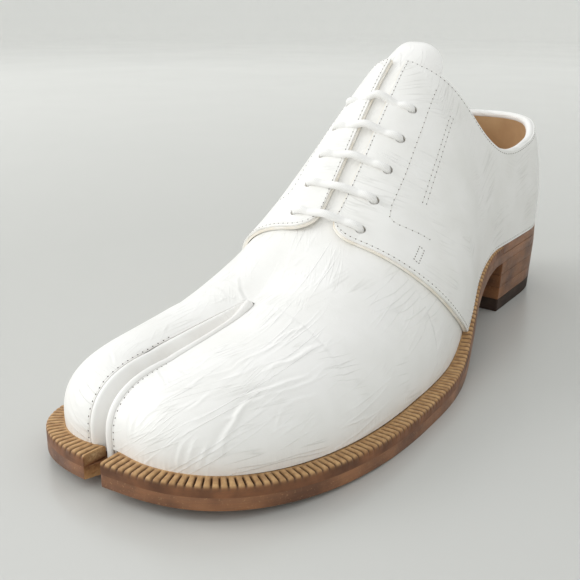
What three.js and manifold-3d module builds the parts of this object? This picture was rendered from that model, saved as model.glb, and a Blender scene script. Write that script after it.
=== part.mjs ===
// A left split-toe derby shoe, empty and unworn, standing on its leather sole.
// Millimetres, +Z up. The toe points to -Y, the outer (lateral) side of the foot is +X, and the
// origin is on the floor under the middle of the shoe's box.
import * as THREE from "three";
import { mergeVertices } from "three/addons/utils/BufferGeometryUtils.js";
import Module from "manifold-3d";

const wasm = await Module();
wasm.setup();

// Sole and heel
const LENGTH = 296; // outsole, toe to heel
const BALL_LATERAL = 56.5; // outsole half width at the ball, from the last's axis to the little-toe side
const BALL_MEDIAL = 51; // the same, to the big-toe side
const HEEL_LATERAL = 36; // outsole half widths at the heel
const HEEL_MEDIAL = 34;
const TOE_RUN = { lateral: 97, medial: 40 }; // length over which each side of the toe rounds out
const HEEL_RUN = 38; // length over which the heel rounds off
const TOE_SQUARENESS = { lateral: 2.5, medial: 2.65 }; // exponent of its super-ellipse, 2 is an ellipse
const HEEL_SQUARENESS = 2.35;
const OUTSOLE_THICKNESS = 4.3;
const WELT_THICKNESS = 3.4;
const WELT_HOLD = 2.2; // how far the welt reaches in past the upper's wall
const LEDGE_TOE = 6.2; // how far the welt stands out past the upper, at the forefoot
const LEDGE_WAIST = 3.4;
const LEDGE_HEEL = 2.4;
const TOE_SPRING = 4; // height of the sole's tip above the floor
const TOE_SPRING_RUN = 92; // the sole leaves the floor this far back from the tip
const TREAD_END = 128; // the ball's flat tread ends this far back from the tip
const SEAT_START = 218; // and the flat heel seat begins here
const HEEL_HEIGHT = 24; // floor to the underside of the outsole at the heel
const HEEL_BREAST = 224; // front face of the heel, back from the tip
const BREAST_HOLLOW = 3; // how deep the breast is curved in at its middle
const HEEL_TAPER = 1.6; // the stack's foot is this much smaller all round than its top
const TOP_PIECE = 6; // rubber top piece on the floor
const LIFTS = 3; // leather lifts between the top piece and the outsole
const RIB_PITCH = 2.55; // spacing of the notches wheeled into the welt
const RIB_WIDTH = 0.8; // opening of each notch
const RIB_DEPTH = 0.9;
const RIB_MARGIN = 0.9; // plain strip left between the notches and the upper

// Upper
const WALL = 2; // vamp and lining together
const QUARTER = 1.8; // thickness of the quarters that lie on the upper
const CREST = 128; // height of the last's cone above the floor, cut away by the collar
const THROAT_WIDTH = 36; // slot in the upper that the tongue fills
const THROAT_SHIFT = 3.5; // the throat's front lies this far to the lateral side of the last's axis
const THROAT_SETBACK = 10; // the slot starts this far behind the facings' front corner
const THROAT_ROUNDING = 8; // radius of its front corners
const FACING_GAP = 6; // between the two facings
const FACING_CORNER = 106; // front corner of the facings, back from the tip
const FACING_TOP = 181; // top of the facings
const FACING_ROUNDING = 9; // radius of their front corners
const TONGUE_STAND = 16; // how far the tongue reaches past the facings' top
const FLAP_LIFT = 2.6; // the facings' loose front corners stand this far off the vamp
const FLAP_REACH = 17; // how far that lift spreads
const QUARTERS_MEET = 252; // behind this they close up at the back of the heel
const EYELETS = 5;
const EYELET_SETBACK = 11; // first eyelet behind the facings' front corner
const EYELET_TOP_SETBACK = 17.6; // last eyelet in front of the facings' top
const EYELET_SPREAD = 27; // from the medial row to the lateral row
const EYELET_BORE = 4; // diameter
const EDGE_FOOT = 168; // the quarters' front edge meets the floor's plane here, back from the tip
const EDGE_TOP = 76; // and leaves the facings at this height
const COLLAR_FRONT = 114; // heights of the collar line above the floor
const COLLAR_SIDE = 74;
const COLLAR_BACK = 85;
const SWELL_HEIGHT = 54; // the walls swell up to this height above their foot
const LEAN_HEIGHT = 70; // and lean in by the full amount at this one
const INSOLE_THICKNESS = 2.6;
const LACE = 3; // diameter of the round lace

// Toe cleft
const CLEFT_X = -11.2; // its line at the tip, from the last's axis
const CLEFT_END = 80; // where it ends on the vamp, back from the tip
const CLEFT_END_X = -4.5;
const CLEFT_MOUTH = 7.4; // width of the notch in the sole's edge
const CLEFT_NOTCH = 12.5; // depth of that notch
const CLEFT_NOTCH_END = 3; // its width at the inner end
const CLEFT_TOP_MEDIAL = 5.6; // how far the cleft opens at the top, from its line to the big toe
const CLEFT_TOP_LATERAL = 2.4; // and to the other side
const CLEFT_FLOOR_START = 34; // the cleft reaches the sole up to here, then its floor rises
const LOBE_ROUNDING = 2.4; // how far the two lobes round down towards the cleft
const LOBE_ROUNDING_REACH = 10; // half width of that rounding
const LOBE_FADE_END = 106; // it has faded out here, back from the tip
const LOBE_FADE_RUN = 30;

const SEAM = 0.3; // clearance between pieces that meet
const AXIS_SHIFT = (BALL_LATERAL - BALL_MEDIAL) / 2; // centres the box on the origin
const BEYOND = 1.1 * LENGTH; // past every piece, for what cuts
const SIDES = { lateral: 1, medial: -1 };
const TOE_FAN_END = 0.36 * LENGTH; // sections fan out round the toe up to here
const HEEL_FAN_START = LENGTH - 1.15 * HEEL_RUN;
const SPINE_FRONT = 0.125 * LENGTH; // the toe's sections meet on the crest here
const SPINE_BACK = LENGTH - 0.85 * HEEL_RUN;

// Outsole half widths as shares of the ball's, by share of the length.
const WAIST = [
  { at: 0.14, lateral: 1, medial: 0.99 },
  { at: 0.33, lateral: 1, medial: 1 },
  { at: 0.4, lateral: 0.985, medial: 0.965 },
  { at: 0.47, lateral: 0.925, medial: 0.86 },
  { at: 0.55, lateral: 0.815, medial: 0.71 },
  { at: 0.63, lateral: 0.7, medial: 0.62 },
  { at: 0.72, lateral: 0.635, medial: 0.61 },
  { at: 0.8, lateral: 0.632, medial: 0.65 },
  { at: 1 - HEEL_RUN / LENGTH, lateral: HEEL_LATERAL / BALL_LATERAL, medial: HEEL_MEDIAL / BALL_MEDIAL },
];

// Width of the ledge by share of the length.
const LEDGE = [
  { at: 0, width: LEDGE_TOE },
  { at: 0.38, width: LEDGE_TOE },
  { at: 0.58, width: LEDGE_WAIST },
  { at: 0.66, width: LEDGE_WAIST },
  { at: 0.8, width: LEDGE_HEEL },
  { at: 1, width: LEDGE_HEEL },
];

// Top of the last by share of the length: crest height as a share of CREST, and where the crest
// lies across, as a share of BALL_MEDIAL from the axis to the big-toe side.
const TOP = [
  { at: 0.1, height: 0.251, inward: 0.2 },
  { at: 0.19, height: 0.294, inward: 0.2 },
  { at: 0.27, height: 0.344, inward: 0.18 },
  { at: 0.34, height: 0.414, inward: 0.14 },
  { at: 0.4, height: 0.503, inward: 0.1 },
  { at: 0.47, height: 0.64, inward: 0.08 },
  { at: 0.54, height: 0.782, inward: 0.05 },
  { at: 0.61, height: 0.903, inward: 0.03 },
  { at: 0.68, height: 0.975, inward: 0.02 },
  { at: 0.76, height: 1, inward: 0.01 },
  { at: 1, height: 1, inward: 0 },
];

// Roundness of the sections by share of the length: exponent of the super-ellipse, how far the
// wall swells past the sole's line low down, and how far it leans in at collar height, in mm.
const SIDE = [
  { at: 0, power: 2.7, swell: 1.2, lean: 0 },
  { at: 0.2, power: 2.4, swell: 1.6, lean: 0 },
  { at: 0.36, power: 2.15, swell: 1.4, lean: 0 },
  { at: 0.5, power: 2.1, swell: 0.6, lean: 0 },
  { at: 0.65, power: 2.5, swell: 0.4, lean: 3 },
  { at: 0.8, power: 3.6, swell: 1.2, lean: 6.5 },
  { at: 1, power: 5, swell: 2.2, lean: 8 },
];

// Collar line seen from the side, by share of the way from the facings' top to the heel: how much
// of its height comes from the front's rise above the side, and how much from the back's.
const COLLAR = [
  { back: -0.07, front: 1.25, heel: 0 },
  { back: 0, front: 1, heel: 0 },
  { back: 0.15, front: 0.42, heel: 0 },
  { back: 0.32, front: 0.1, heel: 0 },
  { back: 0.48, front: 0, heel: 0 },
  { back: 0.69, front: 0, heel: 0.2 },
  { back: 0.87, front: 0, heel: 0.8 },
  { back: 1.1, front: 0, heel: 1 },
];

// Front edge of the quarters seen from the side, from the facing's corner down to the welt:
// share of the way back to EDGE_FOOT, share of EDGE_TOP.
const QUARTER_EDGE = [
  { back: 0, height: 1 },
  { back: 0.02, height: 0.86 },
  { back: 0.1, height: 0.72 },
  { back: 0.24, height: 0.55 },
  { back: 0.48, height: 0.36 },
  { back: 0.78, height: 0.19 },
  { back: 1.1, height: 0 },
];

const clamp = (value, low, high) => Math.min(high, Math.max(low, value));
const mix = (a, b, share) => a + (b - a) * share;

// A smooth value of a table's column at a place, by cubic pieces through its rows.
function column(table, name, at, key = "at") {
  const x = clamp(at, table[0][key], table.at(-1)[key]);
  let i = 0;
  while (i < table.length - 2 && x > table[i + 1][key]) i++;
  const slope = (j) => {
    const a = table[Math.max(0, j - 1)];
    const b = table[Math.min(table.length - 1, j + 1)];
    return (b[name] - a[name]) / (b[key] - a[key]);
  };
  const run = table[i + 1][key] - table[i][key];
  const t = (x - table[i][key]) / run;
  const h00 = (1 + 2 * t) * (1 - t) ** 2;
  const h10 = t * (1 - t) ** 2;
  const h01 = t * t * (3 - 2 * t);
  const h11 = t * t * (t - 1);
  return (
    h00 * table[i][name] + h10 * run * slope(i) + h01 * table[i + 1][name] + h11 * run * slope(i + 1)
  );
}

// Height of the outsole's underside: toe spring, flat tread, arch, then the flat heel seat.
function undersideZ(s) {
  if (s < TOE_SPRING_RUN) return TOE_SPRING * (1 - s / TOE_SPRING_RUN) ** 2;
  const share = clamp((s - TREAD_END) / (SEAT_START - TREAD_END), 0, 1);
  return HEEL_HEIGHT * share * share * (3 - 2 * share);
}

// Half width of the outsole on one side, at a distance back from the tip.
function halfWidth(side, s) {
  const ball = side === "lateral" ? BALL_LATERAL : BALL_MEDIAL;
  const power = TOE_SQUARENESS[side];
  const nose = (1 - clamp(1 - s / TOE_RUN[side], 0, 1) ** power) ** (1 / power);
  const start = LENGTH - HEEL_RUN;
  if (s < start) return nose * ball * column(WAIST, side, s / LENGTH);
  const heel = side === "lateral" ? HEEL_LATERAL : HEEL_MEDIAL;
  const reach = clamp((s - start) / HEEL_RUN, 0, 1);
  return heel * (1 - reach ** HEEL_SQUARENESS) ** (1 / HEEL_SQUARENESS);
}

// Width of the ledge between the upper and the outsole's edge.
const ledge = (s) => column(LEDGE, "width", s / LENGTH);

// One side of the outsole's outline from tip to heel as close points, each with its inward normal.
function traceOutline(side) {
  const steps = 900;
  const points = [];
  for (let i = 0; i <= steps; i++) {
    const s = (LENGTH * (1 - Math.cos((Math.PI * i) / steps))) / 2;
    points.push({ x: SIDES[side] * halfWidth(side, s), s });
  }
  return points.map((p, i) => {
    const a = points[Math.max(0, i - 1)];
    const b = points[Math.min(steps, i + 1)];
    const size = Math.hypot(b.x - a.x, b.s - a.s);
    const turn = SIDES[side] / size;
    const end = i === 0 ? { x: 0, s: 1 } : i === steps ? { x: 0, s: -1 } : null;
    return { ...p, normal: end ?? { x: -(b.s - a.s) * turn, s: (b.x - a.x) * turn } };
  });
}
const OUTLINES = { lateral: traceOutline("lateral"), medial: traceOutline("medial") };

// The outline moved inward by a distance that may vary along it, as points with running length.
function insetOutline(side, inset) {
  let length = 0;
  let last = null;
  return OUTLINES[side].map((p) => {
    const d = typeof inset === "function" ? inset(p.s) : inset;
    const q = { x: p.x + p.normal.x * d, s: p.s + p.normal.s * d, normal: p.normal };
    if (SIDES[side] * q.x < 0) q.x = 0;
    if (last) length += Math.hypot(q.x - last.x, q.s - last.s);
    last = q;
    return { ...q, length };
  });
}

// The point of a traced line where one of its values reaches a target.
function pointAt(line, key, target) {
  let low = 0;
  let high = line.length - 1;
  while (high - low > 1) {
    const middle = (low + high) >> 1;
    if (line[middle][key] < target) low = middle;
    else high = middle;
  }
  const span = line[high][key] - line[low][key] || 1;
  const t = clamp((target - line[low][key]) / span, 0, 1);
  return { x: mix(line[low].x, line[high].x, t), s: mix(line[low].s, line[high].s, t) };
}

// Feet of one side's sections at station v: 0 to 1 round the toe, 1 to 2 along, 2 to 3 round the heel.
function makeFeet(inset) {
  const feet = {};
  for (const side of Object.keys(SIDES)) {
    const line = insetOutline(side, inset);
    const total = line.at(-1).length;
    const lengthAt = (s) => line.find((p) => p.s >= s).length;
    const toe = lengthAt(TOE_FAN_END);
    const heel = lengthAt(HEEL_FAN_START);
    feet[side] = (v) => {
      if (v <= 1) return pointAt(line, "length", toe * v);
      if (v <= 2) return pointAt(line, "s", mix(TOE_FAN_END, HEEL_FAN_START, v - 1));
      return pointAt(line, "length", mix(heel, total, v - 2));
    };
  }
  return feet;
}
const FEATHER = makeFeet(ledge);

// Where the section at station v meets the crest.
function spineAt(v) {
  const s =
    v <= 1
      ? mix(SPINE_FRONT, TOE_FAN_END, v ** 1.25)
      : v <= 2
        ? mix(TOE_FAN_END, HEEL_FAN_START, v - 1)
        : mix(HEEL_FAN_START, SPINE_BACK, v - 2);
  const share = s / LENGTH;
  return { x: -BALL_MEDIAL * column(TOP, "inward", share), s, z: CREST * column(TOP, "height", share) };
}

const RIM = OUTSOLE_THICKNESS + SEAM + WELT_THICKNESS + SEAM; // the upper's foot above the sole's underside
const SKIRT = 1.5 * RIM; // what hollows the upper reaches this far below its foot

// The cleft's middle line across, at a distance back from the tip.
const cleftX = (s) => mix(CLEFT_X, CLEFT_END_X, s / CLEFT_END);

// How far the outer face sinks towards the cleft at a place.
function lobeSink(x, s) {
  const across = (x - cleftX(s)) / LOBE_ROUNDING_REACH;
  const fade = clamp((LOBE_FADE_END - s) / LOBE_FADE_RUN, 0, 1);
  return LOBE_ROUNDING * Math.exp(-across * across) * fade * fade * (3 - 2 * fade);
}

// A point of the upper's outer face: station v, and a turn of 0 at the foot to 1 on the crest.
function facePoint(side, v, turn) {
  const foot = FEATHER[side](v);
  const spine = spineAt(v);
  const share = foot.s / LENGTH;
  const power = column(SIDE, "power", share);
  const angle = (turn * Math.PI) / 2;
  const inward = 1 - Math.cos(angle) ** (2 / power);
  const footZ = undersideZ(foot.s) + RIM;
  const rise = (spine.z - footZ) * Math.sin(angle) ** (2 / power);
  const reach = Math.hypot(spine.x - foot.x, spine.s - foot.s);
  const low = clamp(rise / SWELL_HEIGHT, 0, 1);
  const swell = column(SIDE, "swell", share) * Math.sin(Math.PI * low) * (1 - inward);
  const lean = column(SIDE, "lean", share) * (rise / LEAN_HEIGHT) ** 1.6 * (1 - inward);
  const shift = inward + (lean - swell) / reach;
  const [x, s] = [mix(foot.x, spine.x, shift), mix(foot.s, spine.s, shift)];
  const sink = lobeSink(x, s);
  return new THREE.Vector3(x, s + sink * Math.cos(angle), footZ + rise - sink * Math.sin(angle));
}

// The outer face's outward normal there.
function faceNormal(side, v, turn) {
  const dv = 0.004;
  const dt = 0.01;
  const along = facePoint(side, clamp(v + dv, 0, 3), turn).sub(facePoint(side, clamp(v - dv, 0, 3), turn));
  const up = facePoint(side, v, clamp(turn + dt, 0, 1)).sub(facePoint(side, v, clamp(turn - dt, 0, 1)));
  return along.cross(up).normalize().multiplyScalar(SIDES[side]);
}

// The same point moved out along the face's normal, which both sides share where they meet.
function offsetPoint(side, v, turn, distance) {
  const normal = faceNormal(side, v, turn);
  if (v === 0 || v === 3 || turn === 1) {
    normal.add(faceNormal(side === "lateral" ? "medial" : "lateral", v, turn)).normalize();
  }
  return facePoint(side, v, turn).addScaledVector(normal, distance);
}

// A closed mesh from points and triangles in the last's own (x, s, z), as a manifold-3d solid.
function solidFrom(points, triangles) {
  const position = new Float32Array(triangles.length * 9);
  triangles.forEach((corners, i) =>
    corners.forEach((corner, j) => {
      const p = points[corner];
      position.set([p.x - AXIS_SHIFT, p.y - LENGTH / 2, p.z], i * 9 + j * 3);
    }),
  );
  const geometry = new THREE.BufferGeometry();
  geometry.setAttribute("position", new THREE.BufferAttribute(position, 3));
  return solidOf(geometry);
}

// A three.js geometry as a manifold-3d solid.
function solidOf(geometry) {
  const bare = geometry.clone();
  bare.deleteAttribute("normal");
  bare.deleteAttribute("uv");
  const merged = mergeVertices(bare, 1e-3);
  const index = Array.from(merged.index.array);
  const kept = [];
  for (let i = 0; i < index.length; i += 3) {
    const [a, b, c] = index.slice(i, i + 3);
    if (a !== b && b !== c && c !== a) kept.push(a, b, c);
  }
  const mesh = new wasm.Mesh({
    numProp: 3,
    vertProperties: merged.attributes.position.array,
    triVerts: new Uint32Array(kept),
  });
  mesh.merge();
  return new wasm.Manifold(mesh);
}

// A mesh of a manifold-3d solid.
function meshOf(solid, name, material) {
  const { vertProperties, triVerts, numProp } = solid.getMesh();
  const count = vertProperties.length / numProp;
  const position = new Float32Array(count * 3);
  for (let i = 0; i < count; i++) {
    position.set(vertProperties.subarray(i * numProp, i * numProp + 3), i * 3);
  }
  const geometry = new THREE.BufferGeometry();
  geometry.setAttribute("position", new THREE.BufferAttribute(position, 3));
  geometry.setIndex(new THREE.BufferAttribute(triVerts, 1));
  geometry.computeVertexNormals();
  const mesh = new THREE.Mesh(geometry, material);
  mesh.name = name;
  return mesh;
}

// Stations of the sections, closest round the toe.
function stations(toe, middle, heel) {
  const list = [];
  for (let i = 0; i <= toe; i++) list.push(i / toe);
  for (let i = 1; i <= middle; i++) list.push(1 + i / middle);
  for (let i = 1; i <= heel; i++) list.push(2 + i / heel);
  return list;
}

// A solid skinned over rings, with flat ends unless its first and last rings are folded shut.
function skin(rings, folded = false) {
  const points = rings.flat();
  const size = rings[0].length;
  const triangles = [];
  for (let i = 0; i < rings.length - 1; i++) {
    for (let j = 0; j < size; j++) {
      const a = i * size + j;
      const b = i * size + ((j + 1) % size);
      triangles.push([a, a + size, b], [b, a + size, b + size]);
    }
  }
  if (!folded) {
    const end = (rings.length - 1) * size;
    for (let j = 1; j < size - 1; j++) {
      triangles.push([0, j, j + 1], [end + j + 1, end + j, end]);
    }
  }
  return solidFrom(points, triangles);
}

// The whole last, offset from the upper's outer face, with a skirt below its foot.
function form(offset, skirt, turns = 7) {
  const at = typeof offset === "function" ? offset : () => offset;
  const rings = stations(13, 12, 7).map((v) => {
    const ring = [];
    const arm = (side, i) => {
      const turn = (i / turns) ** 1.15;
      const flat = facePoint(side, v, turn);
      return offsetPoint(side, v, turn, at(flat));
    };
    for (let i = 0; i <= turns; i++) ring.push(arm("lateral", i));
    for (let i = turns - 1; i >= 0; i--) ring.push(arm("medial", i));
    const feet = [ring.at(-1), ring[0]];
    for (const foot of feet) ring.push(new THREE.Vector3(foot.x, foot.y, foot.z - skirt));
    return ring;
  });
  return skin(rings, true);
}

// A plate that follows the sole, between two heights above its underside.
function plate(inset, low, high) {
  const feet = makeFeet(inset);
  const rings = stations(16, 14, 9).map((v) => {
    const [right, left] = [feet.lateral(v), feet.medial(v)];
    const corner = (foot, height) => new THREE.Vector3(foot.x, foot.s, undersideZ(foot.s) + height);
    return [corner(right, low), corner(right, high), corner(left, high), corner(left, low)];
  });
  return skin(rings);
}

// A prism of an outline drawn in the side view, running across the whole shoe.
function sidePrism(outline) {
  const shape = new THREE.Shape(outline.map(([s, z]) => new THREE.Vector2(s - LENGTH / 2, z)));
  const geometry = new THREE.ExtrudeGeometry(shape, { depth: BEYOND, bevelEnabled: false });
  // Extruded along +Z with the drawing in X and Y: turned so that the drawing lies in Y and Z.
  geometry.applyMatrix4(new THREE.Matrix4().set(0, 0, 1, -BEYOND / 2, 1, 0, 0, 0, 0, 1, 0, 0, 0, 0, 0, 1));
  return solidOf(geometry);
}

// A prism of an outline drawn in plan, between two heights.
function planPrism(outline, low, high) {
  const shape = new THREE.Shape(outline.map(([x, s]) => new THREE.Vector2(x - AXIS_SHIFT, s - LENGTH / 2)));
  const geometry = new THREE.ExtrudeGeometry(shape, { depth: high - low, bevelEnabled: false });
  geometry.translate(0, 0, low);
  return solidOf(geometry);
}

// The throat's middle line across, at a distance back from the tip.
const throatX = (s) => THROAT_SHIFT * clamp((FACING_TOP - s) / (FACING_TOP - FACING_CORNER), 0, 1.2);

// The slot between the toes, widened by a margin on its walls, floor and end.
function cleftSlot(margin) {
  const rows = [
    { s: -LEDGE_TOE, open: 0.85, deep: 1 },
    { s: 0.2 * CLEFT_FLOOR_START, open: 0.85, deep: 1 },
    { s: 0.6 * CLEFT_FLOOR_START, open: 1, deep: 0.45 },
    { s: CLEFT_FLOOR_START, open: 1, deep: 0.35 },
    { s: mix(CLEFT_FLOOR_START, CLEFT_END, 0.5), open: 0.92, deep: 0.35 },
    { s: mix(CLEFT_FLOOR_START, CLEFT_END, 0.8), open: 0.75, deep: 0.4 },
    { s: CLEFT_END - WALL, open: 0.5, deep: 0.6 },
    { s: CLEFT_END + margin, open: 0.2, deep: 1 },
  ];
  const crestAt = (s) => CREST * column(TOP, "height", s / LENGTH) - LOBE_ROUNDING;
  const rings = rows.map(({ s, open, deep }) => {
    const rising = clamp((s - CLEFT_FLOOR_START) / (CLEFT_END - CLEFT_FLOOR_START), 0, 1);
    const floor = mix(-OUTSOLE_THICKNESS, crestAt(CLEFT_END) - 0.5 * WALL, rising ** 0.6) - margin;
    const face = crestAt(Math.max(s, SPINE_FRONT));
    const x = cleftX(s);
    const [toLateral, toMedial] = [open * CLEFT_TOP_LATERAL + margin, open * CLEFT_TOP_MEDIAL + margin];
    const [lowLateral, lowMedial] = [deep * open * CLEFT_TOP_LATERAL, deep * open * CLEFT_TOP_MEDIAL];
    const corner = (dx, z) => new THREE.Vector3(x + dx, s, z);
    return [
      corner(lowLateral + margin, floor),
      corner(toLateral, face),
      corner(toLateral, CREST),
      corner(-toMedial, CREST),
      corner(-toMedial, face),
      corner(-lowMedial - margin, floor),
    ];
  });
  return skin(rings);
}

// The open notch through the welt and outsole at the toe.
function soleNotch() {
  const rows = [
    [-CLEFT_NOTCH / 2, CLEFT_MOUTH / 2 + (CLEFT_MOUTH - CLEFT_NOTCH_END) / 4],
    [CLEFT_NOTCH, CLEFT_NOTCH_END / 2],
  ];
  const right = rows.map(([s, half]) => [cleftX(s) + half, s]);
  const left = rows.map(([s, half]) => [cleftX(s) - half, s]).reverse();
  return planPrism([...right, ...left], -OUTSOLE_THICKNESS, BEYOND);
}

// Everything above the collar line, seen from the side.
function aboveCollar() {
  const line = [];
  const steps = 18;
  for (let i = 0; i <= steps; i++) {
    const back = mix(COLLAR[0].back, COLLAR.at(-1).back, i / steps);
    const front = (COLLAR_FRONT - COLLAR_SIDE) * column(COLLAR, "front", back, "back");
    const heel = (COLLAR_BACK - COLLAR_SIDE) * column(COLLAR, "heel", back, "back");
    line.push([mix(FACING_TOP, LENGTH, back), COLLAR_SIDE + front + heel]);
  }
  return sidePrism([...line, [line.at(-1)[0], BEYOND], [line[0][0], BEYOND]]);
}

// Everything behind the quarters' front edge, seen from the side.
function behindQuarterEdge() {
  const line = [];
  const steps = 14;
  for (let i = 0; i <= steps; i++) {
    const height = 1 - i / steps;
    const rows = [...QUARTER_EDGE].reverse();
    const back = column(rows, "back", height, "height");
    line.push([mix(FACING_CORNER, EDGE_FOOT, back), EDGE_TOP * height]);
  }
  return sidePrism([[BEYOND, BEYOND], [FACING_CORNER, BEYOND], ...line, [BEYOND, 0]].reverse());
}

// A rounded corner's points in shares of its radius: across and back, from its side to its end.
const QUARTER_TURN = [0, 0.25, 0.5, 0.75, 1].map((t) => {
  const angle = (t * Math.PI) / 2;
  return [Math.sin(angle), 1 - Math.cos(angle)];
});

// Distance back of each eyelet.
const eyeletAt = (i) =>
  mix(FACING_CORNER + EYELET_SETBACK, FACING_TOP - EYELET_TOP_SETBACK, i / (EYELETS - 1));

// How far the quarters' loose front corners stand off the vamp, at a point.
function flapLift(point) {
  const spread = Math.hypot(point.y - FACING_CORNER, point.x - THROAT_SHIFT);
  const share = clamp(1 - spread / FLAP_REACH, 0, 1);
  return FLAP_LIFT * share * share * (3 - 2 * share);
}

// Station, turn and side of the face's point that lies at a distance back and across.
function locate(s, x) {
  const v = 1 + (s - TOE_FAN_END) / (HEEL_FAN_START - TOE_FAN_END);
  const spine = spineAt(v);
  const side = x > spine.x ? "lateral" : "medial";
  const foot = FEATHER[side](v);
  const power = column(SIDE, "power", s / LENGTH);
  const out = clamp((x - spine.x) / (foot.x - spine.x), 0, 1);
  return { side, v, turn: Math.acos(out ** (power / 2)) / (Math.PI / 2) };
}

// A point above the outer face at a distance back and across.
function above(s, x, distance) {
  const { side, v, turn } = locate(s, x);
  return offsetPoint(side, v, turn, distance);
}

// Materials, in the colours seen in daylight
const finish = (color, roughness) => new THREE.MeshStandardMaterial({ color, roughness, metalness: 0 });
const whiteLeather = finish("#f1efeb", 0.5);
const soleLeather = finish("#7a543c", 0.55);
const weltLeather = finish("#b98a52", 0.6);
const liningLeather = finish("#c9a57c", 0.7);
const rubber = finish("#3a2a20", 0.75);
const cotton = finish("#f7f7f5", 0.85);

const shoe = new THREE.Group();
const add = (solid, name, material) => shoe.add(meshOf(solid, name, material));

// Outsole
const notch = soleNotch();
const outsole = plate(0, 0, OUTSOLE_THICKNESS).subtract(notch);
add(outsole, "outsole", soleLeather);

// Welt from breast to breast, and the plain rand that closes the ring round the heel seat.
const weltLow = OUTSOLE_THICKNESS + SEAM;
const weltHigh = weltLow + WELT_THICKNESS;
const innerRing = (s) => ledge(s) + WALL + WELT_HOLD;
const ring = plate(0, weltLow, weltHigh).subtract(plate(innerRing, 0, 2 * weltHigh));
const block = (x0, x1, s0, s1) => planPrism([[x0, s0], [x1, s0], [x1, s1], [x0, s1]], -BEYOND, BEYOND);
const behindBreast = (gap) => block(-BEYOND, BEYOND, HEEL_BREAST + gap, BEYOND);

function ribCutters() {
  const cutters = [];
  for (const side of Object.keys(SIDES)) {
    const line = insetOutline(side, 0);
    const end = line.find((p) => p.s >= HEEL_BREAST).length;
    const count = Math.floor(end / RIB_PITCH);
    for (let i = side === "lateral" ? 0 : 1; i < count; i++) {
      const along = i * RIB_PITCH;
      const at = pointAt(line, "length", along);
      const ahead = pointAt(line, "length", Math.min(end, along + 1));
      const behind = pointAt(line, "length", Math.max(0, along - 1));
      const turn = Math.atan2(ahead.s - behind.s, ahead.x - behind.x);
      const inward = ledge(at.s) - RIB_MARGIN;
      if (Math.abs(at.x - cleftX(at.s)) < CLEFT_MOUTH / 2 + RIB_WIDTH / 2) continue;
      const wedge = new THREE.Shape();
      wedge.moveTo(-0.6 * RIB_WIDTH, 0.2 * RIB_DEPTH);
      wedge.lineTo(0, -RIB_DEPTH);
      wedge.lineTo(0.6 * RIB_WIDTH, 0.2 * RIB_DEPTH);
      const geometry = new THREE.ExtrudeGeometry(wedge, { depth: inward + RIB_DEPTH, bevelEnabled: false });
      // The notch runs inward from just outside the edge, square to it.
      geometry.rotateX(Math.PI / 2);
      geometry.translate(0, inward, 0);
      geometry.rotateZ(side === "lateral" ? turn : turn + Math.PI);
      const slope = undersideZ(at.s) + weltHigh;
      geometry.translate(at.x - AXIS_SHIFT, at.s - LENGTH / 2, slope);
      cutters.push(solidOf(geometry));
    }
  }
  return wasm.Manifold.union(cutters);
}
const welt = ring.subtract(notch).subtract(behindBreast(0)).subtract(ribCutters());
for (const side of Object.keys(SIDES)) {
  const [low, high] = [CLEFT_X, SIDES[side] * BEYOND].sort((a, b) => a - b);
  add(welt.intersect(block(low, high, -LEDGE_TOE, BEYOND)), `welt_${side}`, weltLeather);
}
add(ring.intersect(behindBreast(SEAM)), "heel_rand", soleLeather);

// Heel: lifts under the seat, then the rubber top piece on the floor.
function heelLayer(low, high) {
  const inset = (z) => HEEL_TAPER * (1 - z / HEEL_HEIGHT);
  const steps = 14;
  const loop = (z) => {
    const edge = [];
    for (const side of ["lateral", "medial"]) {
      const line = insetOutline(side, inset(z));
      const start = line.find((p) => p.s >= HEEL_BREAST).length;
      const end = line.at(-1).length;
      const part = [];
      for (let i = 0; i <= steps; i++) part.push(pointAt(line, "length", mix(start, end, i / steps)));
      edge.push(...(side === "lateral" ? part : part.reverse().slice(1)));
    }
    const breast = 7;
    const [first, last] = [edge[0], edge.at(-1)];
    for (let i = 1; i < breast; i++) {
      const t = i / breast;
      edge.push({ x: mix(last.x, first.x, t), s: HEEL_BREAST + BREAST_HOLLOW * Math.sin(Math.PI * t) });
    }
    return edge.map(({ x, s }) => new THREE.Vector3(x, s, z));
  };
  const [bottom, top] = [loop(low), loop(high)];
  const flat = new THREE.Shape(bottom.map((p) => new THREE.Vector2(p.x, p.y)));
  const faces = THREE.ShapeUtils.triangulateShape(flat.getPoints(), []);
  const size = bottom.length;
  const triangles = [];
  for (const [a, b, c] of faces) triangles.push([a, c, b], [a + size, b + size, c + size]);
  for (let i = 0; i < size; i++) {
    const j = (i + 1) % size;
    triangles.push([i, j, i + size], [j, j + size, i + size]);
  }
  return solidFrom([...bottom, ...top], triangles);
}
add(heelLayer(0, TOP_PIECE), "heel_top_piece", rubber);
const liftHeight = (HEEL_HEIGHT - TOP_PIECE) / LIFTS;
for (let i = 0; i < LIFTS; i++) {
  const low = TOP_PIECE + i * liftHeight;
  const high = low + liftHeight - (i === LIFTS - 1 ? SEAM : 0);
  add(heelLayer(low + SEAM, high), `heel_lift_${i + 1}`, soleLeather);
}

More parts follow.
